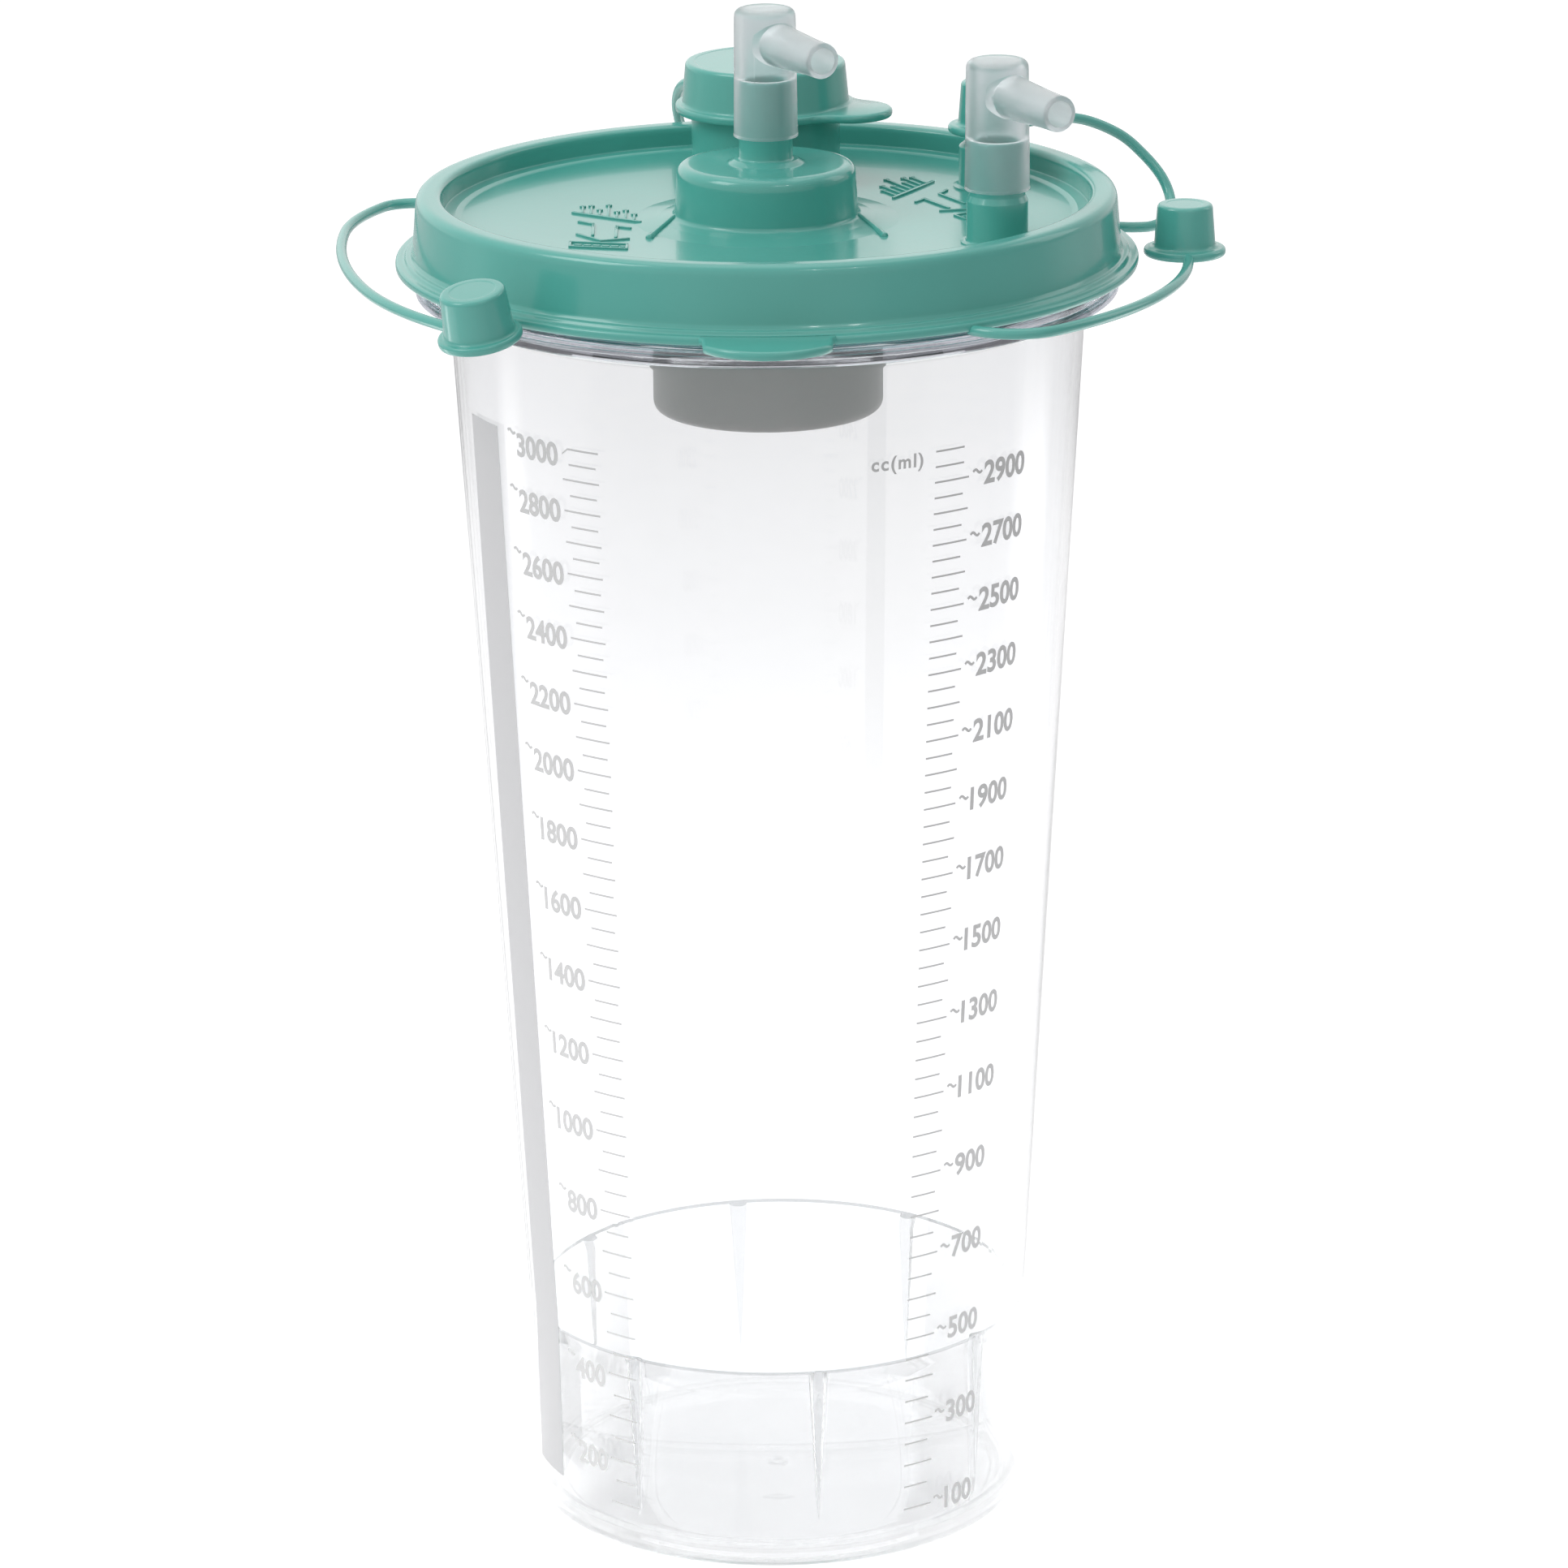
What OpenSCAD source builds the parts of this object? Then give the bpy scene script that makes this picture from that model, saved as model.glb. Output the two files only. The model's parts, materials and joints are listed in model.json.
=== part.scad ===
/* [Canister] */
// Widening of the wall from the base to the stacking line
step_out = 1.1; // [0.4:0.1:2]
// Height of the stacking line above the base
step_z = 47.7; // [38:0.1:60]
// Widening of the wall from the stacking line to the rim
wall_draft = 13.4; // [6:0.1:18]
// Height at which the plain wall ends and the rim begins
wall_top_z = 283.2; // [240:0.2:320]
// Distance of the lip outside the top of the wall
lip_out = 4.5; // [3:0.1:6]
// Thickness of the canister wall
wall_t = 2; // [1.4:0.1:2.4]
// Height of the foot ring below the floor
foot_h = 0.8; // [0.4:0.1:2]
// Radius of the rounding at the bottom edge
foot_round_r = 2.4; // [1:0.1:3]
// Thickness of the floor
floor_t = 2.2; // [1.4:0.1:3]
// Radius of the inside corner between floor and wall
floor_fillet_r = 4; // [2:0.1:5]
// Inward step of the inner wall at the stacking line
step_in = 0.8; // [0.2:0.1:1.4]
// Number of stacking ribs
rib_count = 8; // [4:1:16]
// Half width of a stacking rib at its top
rib_r = 2.2; // [1:0.1:3]
// Angle of the first rib, counted from the front
rib_start = 9.5; // [-22:0.5:22]
// Reach of the widest rim bead past the lip
bead_out = 2.8; // [1.6:0.1:4]
// Height of one rim bead
bead_h = 1.5; // [1:0.05:2.4]
// Groove between two rim beads
bead_gap = 0.45; // [0.2:0.05:0.8]
// Thickness of the upright lip
lip_t = 1.8; // [1.2:0.1:2]
// Height of the upright lip above the beads
lip_h = 13; // [8:0.5:13.2]

/* [Lid] */
// Outer radius of the lid flange
flange_r = 82.5; // [81:0.1:88]
// Width of the lid flange outside the skirt
flange_w = 3.8; // [2:0.1:6]
// Thickness of the lid flange
flange_t = 2; // [1.4:0.1:3]
// Height of the rim above the underside of the flange
rim_h = 16.4; // [15.8:0.1:20]
// Thickness of the skirt outside the lip
skirt_t = 2.2; // [1.6:0.1:3]
// Thickness of the lid skin
lid_t = 1.8; // [1.2:0.1:2]
// Depth of the plug wall below the underside of the flange
plug_h = 3.4; // [2:0.1:4]
// Height of the plate above the underside of the flange
plate_h = 9.6; // [8:0.1:11]
// Width of the slope between the ledge and the plate
slope_w = 3.05; // [1:0.05:5]
// Depth of the tray wall from the top of the rim to its ledge
tray_h = 4.8; // [3:0.1:5.4]
// Radius of the finger tab at the front
tab_r = 16.6; // [12:0.1:20]
// Half width of the finger tab
tab_half_w = 13.6; // [9:0.1:15.5]
// Reach of the finger tab past the flange
tab_reach = 13; // [6:0.1:15]

/* [Vacuum hub] */
// Radius of the hub at its base
hub_r = 20.4; // [18.5:0.1:21.5]
// Height of the hub above the plate
hub_h = 12.7; // [9:0.1:16]
// Radius of the rounding round the top of the hub
hub_round_r = 2.5; // [1:0.1:3]
// Radius of the shallow flare round the hub
flare_r = 30; // [26:0.5:36]
// Height of the flare at the hub
flare_h = 1.2; // [0.5:0.1:2]
// Outer radius of the vacuum spout
vac_spout_r = 5.95; // [5:0.05:6.2]
// Height of the vacuum spout above the hub
vac_spout_h = 18.6; // [14:0.1:22]
// Wall of every spout
spout_t = 1.5; // [1:0.1:2]
// Bare length of the vacuum spout below its elbow
vac_bare_h = 6; // [3:0.1:10]

/* [Ports] */
// Gap between the hub and the large port
large_gap = 6.7; // [4:0.1:10]
// Height of the large port above the plate
large_h = 25.4; // [20:0.1:32]
// Distance of the large port from the edge of the plate
large_edge = 7.1; // [3:0.1:10]
// Distance of the two side ports from the right edge of the plate
side_edge = 17.8; // [16:0.1:24]
// Distance of the patient port towards the front
patient_y = 28.5; // [22:0.5:30]
// Distance of the tandem port towards the back
tandem_y = 29; // [24:0.5:30]
// Outer radius of the thick base of a side port
socket_r = 6.75; // [6.3:0.05:8]
// Height of the thick base of a side port
socket_h = 9; // [6:0.1:11]
// Height of the cone between the base and the spout
shoulder_h = 1.3; // [0.6:0.1:2]
// Outer radius of the patient spout
patient_spout_r = 6.1; // [5:0.05:6.2]
// Outer radius of the tandem spout
tandem_spout_r = 5.1; // [4.4:0.05:5.4]
// Height of a side spout above the plate
side_h = 23.2; // [19:0.1:26]
// Bare length of a side port below its elbow
patient_bare_h = 12.4; // [11.6:0.1:14]

/* [Elbows] */
// Outer radius of the elbow column at its mouth
elbow_r = 7.1; // [6.9:0.05:8]
// Outer radius of the elbow column at its top
elbow_top_r = 6.8; // [6.2:0.05:7]
// Height of the elbow column
elbow_h = 28.7; // [25:0.1:34]
// Radius of the rounding at the top of the column
elbow_round_r = 2; // [0.8:0.1:3]
// Depth of the arm's centre line below the top of the column
arm_drop = 7.4; // [6.4:0.1:10]
// Reach of the arm from the column's centre line
arm_reach = 27.5; // [22:0.5:34]
// Outer radius of the arm at its root
arm_root_r = 4.7; // [4.2:0.05:5]
// Outer radius of the arm at its end
arm_end_r = 3.95; // [3.6:0.05:4.1]
// Radius of the bore through the arm
arm_bore_r = 2.9; // [2.2:0.05:3.1]
// Length of the straight end of the arm
arm_end_l = 9; // [6:0.5:12]
// Turn of both arms towards the right, counted from the front
arm_turn = 27; // [0:1:60]

/* [Caps] */
// Height of the large cap
large_cap_h = 11.5; // [10:0.1:15]
// Wall of the large cap at its top
large_cap_t = 1.15; // [1:0.05:2]
// Widening of the large cap towards its foot
large_cap_draft = 0.6; // [0.2:0.1:1]
// Width of the large cap's flange
large_cap_flange_w = 1.8; // [1:0.1:3]
// Radius of the large cap's pull tab
pull_r = 10; // [7:0.5:11]
// Distance of the pull tab's centre inside the edge of the cap's flange
pull_in = 0.3; // [0:0.1:4]
// Turn of the pull tab towards the front, from the right
pull_turn = 22; // [0:1:45]
// Height of a small cap
small_cap_h = 11.7; // [10:0.1:14]
// Width of a small cap's flange, from the left cap's foot
small_flange_w = 1.8; // [1:0.05:3]
// Wall of the left cap at its top
left_cap_t = 0.9; // [0.8:0.05:1.6]
// Widening of the left cap towards its foot
left_cap_draft = 0.3; // [0.1:0.05:0.8]
// Wall of the right and tandem caps at their top
narrow_cap_t = 1; // [0.8:0.05:1.6]
// Widening of the right and tandem caps towards their foot
narrow_cap_draft = 0.45; // [0.1:0.05:0.8]
// Thickness of a cap's flange
cap_flange_t = 2; // [1.4:0.1:2.6]
// Thickness of the top of a cap
cap_roof_t = 1.5; // [1:0.1:2]
// Diameter of every tether
tether_d = 2.4; // [1.6:0.1:3]
// Outward lean of the left cap
left_cap_lean = 12; // [0:1:20]

/* [Shutoff] */
// Outer radius of the shutoff housing
housing_r = 25.7; // [23:0.1:26.5]
// Length of the shutoff housing below the plate
housing_h = 41; // [34:0.5:50]
// Wall of the shutoff housing
housing_t = 1.6; // [1:0.1:2.4]
// Radius of the rounded lower edge of the housing
housing_round_r = 3.6; // [2:0.1:4.4]
// Radius of the float
float_r = 14; // [10:0.1:16]
// Height of the float
float_h = 24; // [16:0.1:28]
// Wall of the float
float_t = 1.2; // [0.8:0.1:2]
// Radius of the rubber seal on the float
seal_r = 8; // [7:0.1:10]
// Thickness of the rubber seal
seal_t = 1.6; // [1:0.1:3]

/* [Hidden] */
$fn = 96;
strap_fn = 10;
small_fn = 48;

// Clearances and overruns
seat_gap = 0.05;
push_fit = 0.05;
slide_gap = 0.3;
overrun = 1;
merge = 0.4;

// Radii worked out from the lid flange inward
skirt_draft = 1.1;
skirt_foot_r = flange_r - flange_w;
rim_r = skirt_foot_r - skirt_draft;
lip_r = rim_r - skirt_t;
lip_in_r = lip_r - lip_t;
bead_r = lip_r + bead_out;
wall_top_r = lip_r - lip_out;
step_r = wall_top_r - wall_draft;
base_r = step_r - step_out;

// Heights worked out from the canister up
floor_z = foot_h + floor_t;
ring_z = wall_top_z + wall_t;
bead_count = 3;
bead_step = bead_h + bead_gap;
bead_lean = 0.4;
bead_edge = 0.3;
seat_z = ring_z + bead_count * bead_step - bead_gap;
lip_z = seat_z + lip_h;
flange_z = seat_z + seat_gap;
rim_z = flange_z + rim_h;
plate_z = flange_z + plate_h;
roof_z = plate_z - lid_t;
plug_z = flange_z - plug_h;
hub_z = plate_z + hub_h;
boss_z = plate_z + flare_h;
stand_z = boss_z + seat_gap;
vac_spout_z = hub_z + vac_spout_h;
large_top_z = plate_z + large_h;
side_top_z = plate_z + side_h;

// Foot and floor of the canister
foot_r = base_r - foot_round_r;
foot_w = 3.4;
foot_slope = 0.9;
inner_base_r = base_r - wall_t;
inner_step_r = step_r - wall_t - step_in;
gate_r = 1.9;
gate_h = 0.3;
rib_tip_r = 0.35;
rib_foot_z = floor_z + floor_fillet_r + 1.5 * foot_h;

// Channel of the lid round the lip
channel_r = lip_r + push_fit;
plug_r = lip_in_r - push_fit;
plug_in_r = plug_r - lid_t;
channel_z = lip_z + slide_gap;
tray_r = plug_in_r;
ledge_z = rim_z - tray_h;
ledge_w = 0.7;
plate_r = tray_r - ledge_w - slope_w;
rim_round = 1.6;
skirt_step = 0.9;
plug_lead = 0.5;

// Places of the ports on the plate
large_r = (plate_r - hub_r - large_gap - large_edge) / 2;
large_y = plate_r - large_edge - large_r;
side_x = plate_r - side_edge;

// Hub and valve seat
hub_extra_t = 0.2;
hub_t = lid_t + hub_extra_t;
hub_draft = 0.7;
hub_top_r = hub_r - hub_draft;
collar_w = 1.1;
collar_r = vac_spout_r + collar_w;
collar_h = 0.9;
valve_tube_w = 0.5;
valve_tube_r = vac_spout_r + valve_tube_w;
spout_bore_r = vac_spout_r - spout_t;
wing_w = 0.9;
wing_gap = 0.1;
wing_in_r = hub_r + wing_gap;
wing_bend_r = 30;
wing_angle = 34;
spout_edge = 0.4;

// Elbow
elbow_neck_r = 5;
elbow_roof_t = 1.5;
elbow_lip = 0.25;

// Caps
large_cap_in_r = large_r + push_fit;
large_cap_top_r = large_cap_in_r + large_cap_t;
large_cap_foot_r = large_cap_top_r + large_cap_draft;
large_cap_flange_r = large_cap_foot_r + large_cap_flange_w;
pull_x = large_cap_flange_r - pull_in;
large_cap_z = large_top_z + seat_gap + cap_roof_t - large_cap_h;
tandem_cap_z = side_top_z + seat_gap + cap_roof_t - small_cap_h;
left_cap_in_r = patient_spout_r + push_fit;
left_cap_top_r = left_cap_in_r + left_cap_t;
left_cap_foot_r = left_cap_top_r + left_cap_draft;
narrow_cap_in_r = tandem_spout_r + push_fit;
narrow_cap_top_r = narrow_cap_in_r + narrow_cap_t;
narrow_cap_foot_r = narrow_cap_top_r + narrow_cap_draft;
small_flange_r = left_cap_foot_r + small_flange_w;
cap_round = 1.5;
vac_elbow_z = hub_z + vac_bare_h;
patient_elbow_z = plate_z + patient_bare_h;

// Loose caps and their tethers, which lie at the height of the flange
tether_r = tether_d / 2;
tether_lift = 0.2;
loose_drop = 1.1;
tether_z = flange_z + tether_lift;
left_cap_az = -41.3;
left_cap_share = 1.12;
left_cap_at = left_cap_share * flange_r;
right_cap_az = 94.2;
right_cap_share = 1.1333333;
right_cap_at = right_cap_share * flange_r;
strap_turn = 15;
tandem_tether_az = 123;
large_tether_az = -161;

// Routes of the two level tethers, which begin beside their cap. Each turn gives its
// radius as a share of the flange radius, and its sweep
right_start_az = 87.5;
right_heading = -92.5;
right_turn_shares = [[1.1272727, 46.5], [0.1575758, 90]];
left_start_az = -46.4;
left_heading = 131.5;
left_turn_shares = [[1.2363636, 23.8], [2.0606061, 20], [0.7515152, 25.7],
    [0.0969697, 120], [0.7272727, 15]];
nib_r = 0.45;

// Shutoff
housing_z = roof_z - housing_h;
sill_r = housing_r - housing_round_r - housing_t;
cage_t = 2;
cage_z = housing_z + housing_t;
cage_hub_r = 4;
cage_bar_w = 2.4;
cage_bar_t = 1.6;
cage_bars = 6;
cage_r = housing_r - housing_t - push_fit;
cage_ring_w = 3;
float_z = cage_z + cage_t + seat_gap;
float_rim_t = 1.2;
seal_z = float_z + float_h;
valve_seat_z = plate_z;
fin_t = 1.6;
fin_count = 4;
fin_r = float_r + slide_gap;
fin_h = housing_h - housing_t - cage_t - housing_round_r;

// Colours
clear = [0.86, 0.90, 0.94, 0.35];
teal = [0.46, 0.73, 0.68];
teal_light = [0.50, 0.77, 0.72];
milky = [0.80, 0.86, 0.88, 0.8];
grey = [0.56, 0.57, 0.55];
white = [0.93, 0.93, 0.91];
rubber = [0.20, 0.22, 0.24];

// A point at an angle counted from the front towards the right
function polar(az, r, z) = [r * sin(az), -r * cos(az), z];

// Points of an arc in the plane of a profile
function arc(cx, cy, r, from, to, n) =
    [for (i = [0:n]) let (a = from + (to - from) * i / n) [cx + r * cos(a), cy + r * sin(a)]];

// Outer edge of one rim bead, from its foot up
function bead(r, z) = [[r - bead_edge, z], [r, z + bead_edge],
    [r, z + bead_h - bead_edge], [r - bead_edge, z + bead_h]];

module canister_shell() {
    outer = concat(
        [[0, foot_h], [foot_r - foot_w - foot_slope, foot_h], [foot_r - foot_w, 0]],
        arc(foot_r, foot_round_r, foot_round_r, -90, 0, 5),
        [[step_r, step_z], [wall_top_r, wall_top_z]],
        [[wall_top_r + wall_t, ring_z]],
        [for (k = [0:bead_count - 1])
            each bead(bead_r - k * bead_lean, ring_z + k * bead_step)],
        [[lip_r, seat_z], [lip_r, lip_z - bead_edge], [lip_r - bead_edge, lip_z]]);
    inner = concat(
        [[lip_in_r + bead_edge, lip_z], [lip_in_r, lip_z - bead_edge],
        [lip_in_r, plug_z - slide_gap], [wall_top_r + wall_t / 4, plug_z - slide_gap - wall_t / 3],
        [wall_top_r - wall_t, wall_top_z]],
        [[step_r - wall_t, step_z], [inner_step_r, step_z - step_in]],
        arc(inner_base_r - floor_fillet_r, floor_z + floor_fillet_r, floor_fillet_r, 0, -90, 6),
        [[0, floor_z]]);
    rotate_extrude() polygon(concat(outer, inner));
}

module canister() {
    color(clear) union() {
        canister_shell();
        for (k = [0:rib_count - 1])
            translate(polar(rib_start + k * 360 / rib_count, inner_base_r, rib_foot_z))
                cylinder(h = step_z - step_in - rib_foot_z, r1 = rib_tip_r, r2 = rib_r, $fn = small_fn);
        translate([0, 0, floor_z - merge / 2]) cylinder(h = gate_h + merge / 2, r = gate_r, $fn = small_fn);
    }
}

module lid_skin() {
    flange_edge = flange_t / 4;
    step_out_r = (flange_r + skirt_foot_r) / 2;
    rotate_extrude() polygon(concat(
        [[channel_r, flange_z], [flange_r - flange_edge, flange_z], [flange_r, flange_z + flange_edge],
        [flange_r, flange_z + flange_t - flange_edge], [flange_r - flange_edge, flange_z + flange_t]],
        [[step_out_r, flange_z + flange_t], [step_out_r - skirt_step / 2, flange_z + flange_t + skirt_step]],
        [[skirt_foot_r + skirt_step / 2, flange_z + flange_t + skirt_step],
        [skirt_foot_r, flange_z + flange_t + 2 * skirt_step]],
        arc(rim_r - rim_round, rim_z - rim_round, rim_round, 0, 90, 4),
        arc(tray_r + rim_round / 2, rim_z - rim_round / 2, rim_round / 2, 90, 180, 3),
        [[tray_r, ledge_z], [tray_r - ledge_w, ledge_z]],
        [[plate_r, plate_z], [flare_r, plate_z], [hub_r, boss_z], [hub_r - hub_t, boss_z]],
        [[hub_r - hub_t, roof_z], [plug_in_r - lid_t, roof_z], [plug_in_r, roof_z - lid_t]],
        [[plug_in_r, plug_z + plug_lead], [plug_in_r + plug_lead, plug_z],
        [plug_r - plug_lead, plug_z], [plug_r, plug_z + plug_lead]],
        [[plug_r, channel_z], [channel_r, channel_z]]));
}

module finger_tab() {
    edge_y = flange_r + tab_reach - tab_r;
    translate([0, 0, flange_z]) intersection() {
        translate([0, -edge_y, 0]) cylinder(h = flange_t, r = tab_r, $fn = small_fn);
        translate([-tab_half_w, -edge_y - tab_r, 0])
            cube([2 * tab_half_w, tab_r + edge_y - rim_r, flange_t]);
    }
}

// The hub, with its spout and valve seat, on the rim of the plate's opening
module vacuum_hub() {
    color(teal) rotate_extrude() polygon(concat(
        [[hub_r - hub_t, stand_z], [hub_r, stand_z]],
        arc(hub_top_r - hub_round_r, hub_z - hub_round_r, hub_round_r, 0, 90, 5),
        [[collar_r, hub_z], [collar_r - merge / 2, hub_z + collar_h], [vac_spout_r, hub_z + collar_h]],
        [[vac_spout_r, vac_spout_z - spout_edge], [vac_spout_r - spout_edge, vac_spout_z]],
        [[spout_bore_r, vac_spout_z], [spout_bore_r, valve_seat_z]],
        [[valve_tube_r, valve_seat_z], [valve_tube_r, hub_z - hub_t]],
        [[hub_top_r - hub_t - hub_round_r / 2, hub_z - hub_t],
        [hub_top_r - hub_t, hub_z - hub_t - hub_round_r / 2]]));
}

// A thin curved rib from the side of the hub towards the front
module hub_wing(side) {
    mirror([side < 0 ? 1 : 0, 0, 0])
        translate([wing_in_r, 0, plate_z])
            translate([wing_bend_r, 0, 0])
                rotate([0, 0, 180])
                    rotate_extrude(angle = wing_angle)
                        translate([wing_bend_r, 0])
                            polygon([[-wing_w / 2, -merge], [wing_w / 2, -merge],
                                [wing_w / 2, flare_h / 2], [0, flare_h], [-wing_w / 2, flare_h / 2]]);
}

// A port spout with its thick base, on its boss
module side_spout(r) {
    rotate_extrude($fn = small_fn) polygon([[r - spout_t, stand_z], [socket_r, stand_z],
        [socket_r, plate_z + socket_h], [r, plate_z + socket_h + shoulder_h],
        [r, side_top_z - spout_edge], [r - spout_edge, side_top_z], [r - spout_t, side_top_z]]);
}

module large_port() {
    color(teal) translate([0, large_y, 0]) rotate_extrude() polygon([[large_r - lid_t, stand_z],
        [large_r, stand_z], [large_r, large_top_z - spout_edge],
        [large_r - spout_edge, large_top_z], [large_r - lid_t, large_top_z]]);
}

module patient_port() {
    color(teal) translate([side_x, -patient_y, 0]) side_spout(patient_spout_r);
}

module tandem_port() {
    color(teal) translate([side_x, tandem_y, 0]) side_spout(tandem_spout_r);
}

// The low boss that a port stands on, and the way through it
module boss(r) {
    translate([0, 0, roof_z]) cylinder(h = boss_z - roof_z, r1 = r + merge, r2 = r, $fn = small_fn);
}

module boss_bore(r) {
    translate([0, 0, roof_z - overrun])
        cylinder(h = boss_z - roof_z + 2 * overrun, r = r, $fn = small_fn);
}

module lid() {
    color(teal) difference() {
        union() {
            lid_skin();
            finger_tab();
            for (side = [-1, 1]) hub_wing(side);
            translate([0, large_y, 0]) boss(large_r);
            translate([side_x, -patient_y, 0]) boss(socket_r);
            translate([side_x, tandem_y, 0]) boss(socket_r);
        }
        translate([0, large_y, 0]) boss_bore(large_r - lid_t);
        translate([side_x, -patient_y, 0]) boss_bore(patient_spout_r - spout_t);
        translate([side_x, tandem_y, 0]) boss_bore(tandem_spout_r - spout_t);
    }
}

// An elbow that stands on its mouth, with the arm towards the front
module elbow(spout_r, spout_in) {
    arm_z = elbow_h - arm_drop;
    difference() {
        union() {
            rotate_extrude($fn = small_fn) polygon(concat(
                [[0, 0], [elbow_r, 0], [elbow_r, elbow_r / 2],
                [elbow_r - elbow_lip, elbow_r / 2 + elbow_lip]],
                arc(elbow_top_r - elbow_round_r, elbow_h - elbow_round_r, elbow_round_r, 0, 90, 5),
                [[0, elbow_h]]));
            translate([0, 0, arm_z]) rotate([90, 0, 0]) {
                cylinder(h = arm_reach, r = arm_end_r, $fn = small_fn);
                cylinder(h = arm_reach - arm_end_l, r1 = arm_root_r, r2 = arm_end_r, $fn = small_fn);
            }
        }
        translate([0, 0, -overrun])
            cylinder(h = spout_in + slide_gap + overrun, r = spout_r + push_fit, $fn = small_fn);
        cylinder(h = elbow_h - elbow_roof_t, r = elbow_neck_r, $fn = small_fn);
        translate([0, 0, arm_z]) rotate([90, 0, 0])
            cylinder(h = arm_reach + overrun, r = arm_bore_r, $fn = small_fn);
    }
}

module vacuum_elbow() {
    color(milky) translate([0, 0, vac_elbow_z]) rotate([0, 0, arm_turn])
        elbow(vac_spout_r, vac_spout_h - vac_bare_h);
}

module patient_elbow() {
    color(milky) translate([side_x, -patient_y, patient_elbow_z]) rotate([0, 0, arm_turn])
        elbow(patient_spout_r, side_h - patient_bare_h);
}

// A push-on cap that stands on its flange
module push_cap(in_r, foot, top, flange, h) {
    edge = cap_flange_t / 3;
    rotate_extrude($fn = small_fn) polygon(concat(
        [[in_r, 0], [flange - edge, 0], [flange, edge], [flange, cap_flange_t - edge],
        [flange - edge, cap_flange_t], [foot + edge, cap_flange_t], [foot, cap_flange_t + edge]],
        arc(top - cap_round, h - cap_round, cap_round, 0, 90, 5),
        [[0, h], [0, h - cap_roof_t], [in_r, h - cap_roof_t]]));
}

module large_port_cap() {
    color(teal_light) translate([0, large_y, large_cap_z]) difference() {
        union() {
            push_cap(large_cap_in_r, large_cap_foot_r, large_cap_top_r, large_cap_flange_r, large_cap_h);
            rotate([0, 0, -pull_turn]) translate([pull_x, 0, 0])
                cylinder(h = cap_flange_t, r = pull_r, $fn = small_fn);
        }
        translate([0, 0, -overrun])
            cylinder(h = large_cap_h - cap_roof_t + overrun, r = large_cap_in_r, $fn = small_fn);
    }
}

module tandem_port_cap() {
    color(teal_light) translate([side_x, tandem_y, tandem_cap_z])
        push_cap(narrow_cap_in_r, narrow_cap_foot_r, narrow_cap_top_r, small_flange_r, small_cap_h);
}

module left_loose_cap() {
    color(teal_light) translate(polar(left_cap_az, left_cap_at, flange_z - loose_drop))
        rotate([0, 0, left_cap_az]) rotate([left_cap_lean, 0, 0])
            push_cap(left_cap_in_r, left_cap_foot_r, left_cap_top_r, small_flange_r, small_cap_h);
}

// The right cap is still held by its moulded nib
module right_loose_cap() {
    nib_l = right_cap_at - small_flange_r - flange_r;
    color(teal_light) union() {
        translate(polar(right_cap_az, right_cap_at, flange_z - loose_drop))
            push_cap(narrow_cap_in_r, narrow_cap_foot_r, narrow_cap_top_r, small_flange_r, small_cap_h);
        translate(polar(right_cap_az, flange_r - merge, flange_z + nib_r))
            rotate([0, 90, right_cap_az - 90])
                cylinder(h = nib_l + 3 * merge, r = nib_r, $fn = small_fn);
    }
}

// Centre and end of an arc that turns clockwise from a point and a heading
function turn_centre(p, heading, r) = [p[0], p[1]] + r * [sin(heading), -cos(heading)];
function turn_end(p, heading, r, sweep) =
    turn_centre(p, heading, r) + r * [-sin(heading - sweep), cos(heading - sweep)];
function turn_steps(r, sweep) =
    ceil(max(sweep / strap_turn, r * sweep * PI / 180 / (3 * tether_d)));

// Points along a flat tether whose turns, given by radius and sweep, lie end to end
function tether_path(p, heading, turns, k = 0) = k == len(turns) ? [[p[0], p[1], tether_z]]
    : let (r = turns[k][0], sweep = turns[k][1], c = turn_centre(p, heading, r), n = turn_steps(r, sweep))
    concat([for (i = [0:n - 1]) let (h = heading - sweep * i / n)
        [c[0] - r * sin(h), c[1] + r * cos(h), tether_z]],
        tether_path(turn_end(p, heading, r, sweep), heading - sweep, turns, k + 1));

// Catmull-Rom curve through a list of points
function spline_at(a, b, c, d, t) = 0.5 * (2 * b + (c - a) * t
    + (2 * a - 5 * b + 4 * c - d) * t * t + (3 * b - a - 3 * c + d) * t * t * t);
function spline(p, n) = let (m = len(p) - 1) [for (i = [0:m - 1], k = [0:n - 1])
    spline_at(p[max(i - 1, 0)], p[i], p[i + 1], p[min(i + 2, m)], k / n), p[m]];
function unit(v) = v / norm(v);
function along(p, i) = unit(p[min(i + 1, len(p) - 1)] - p[max(i - 1, 0)]);
function carry(p, i) = i == 0 ? unit(cross(along(p, 0), [0, 0, 1]))
    : let (n = carry(p, i - 1), t = along(p, i)) unit(n - (n * t) * t);

// A round strap swept along a list of points
module sweep_strap(p) {
    n = len(p);
    rings = [for (i = [0:n - 1]) let (t = along(p, i), u = carry(p, i), v = cross(t, u))
        for (k = [0:strap_fn - 1]) let (a = 360 * k / strap_fn) p[i] + tether_r * (cos(a) * u + sin(a) * v)];
    sides = [for (i = [0:n - 2], k = [0:strap_fn - 1]) let (j = (k + 1) % strap_fn)
        [i * strap_fn + k, (i + 1) * strap_fn + k, (i + 1) * strap_fn + j, i * strap_fn + j]];
    polyhedron(rings, concat(sides, [[for (k = [0:strap_fn - 1]) k]],
        [[for (k = [0:strap_fn - 1]) n * strap_fn - 1 - k]]));
}

module level_tether(start_az, start_at, heading, turn_shares) {
    color(teal) sweep_strap(tether_path(polar(start_az, start_at, 0), heading,
        [for (t = turn_shares) [t[0] * flange_r, t[1]]]));
}

module left_cap_tether() {
    level_tether(left_start_az, left_cap_at, left_heading, left_turn_shares);
}

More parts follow.
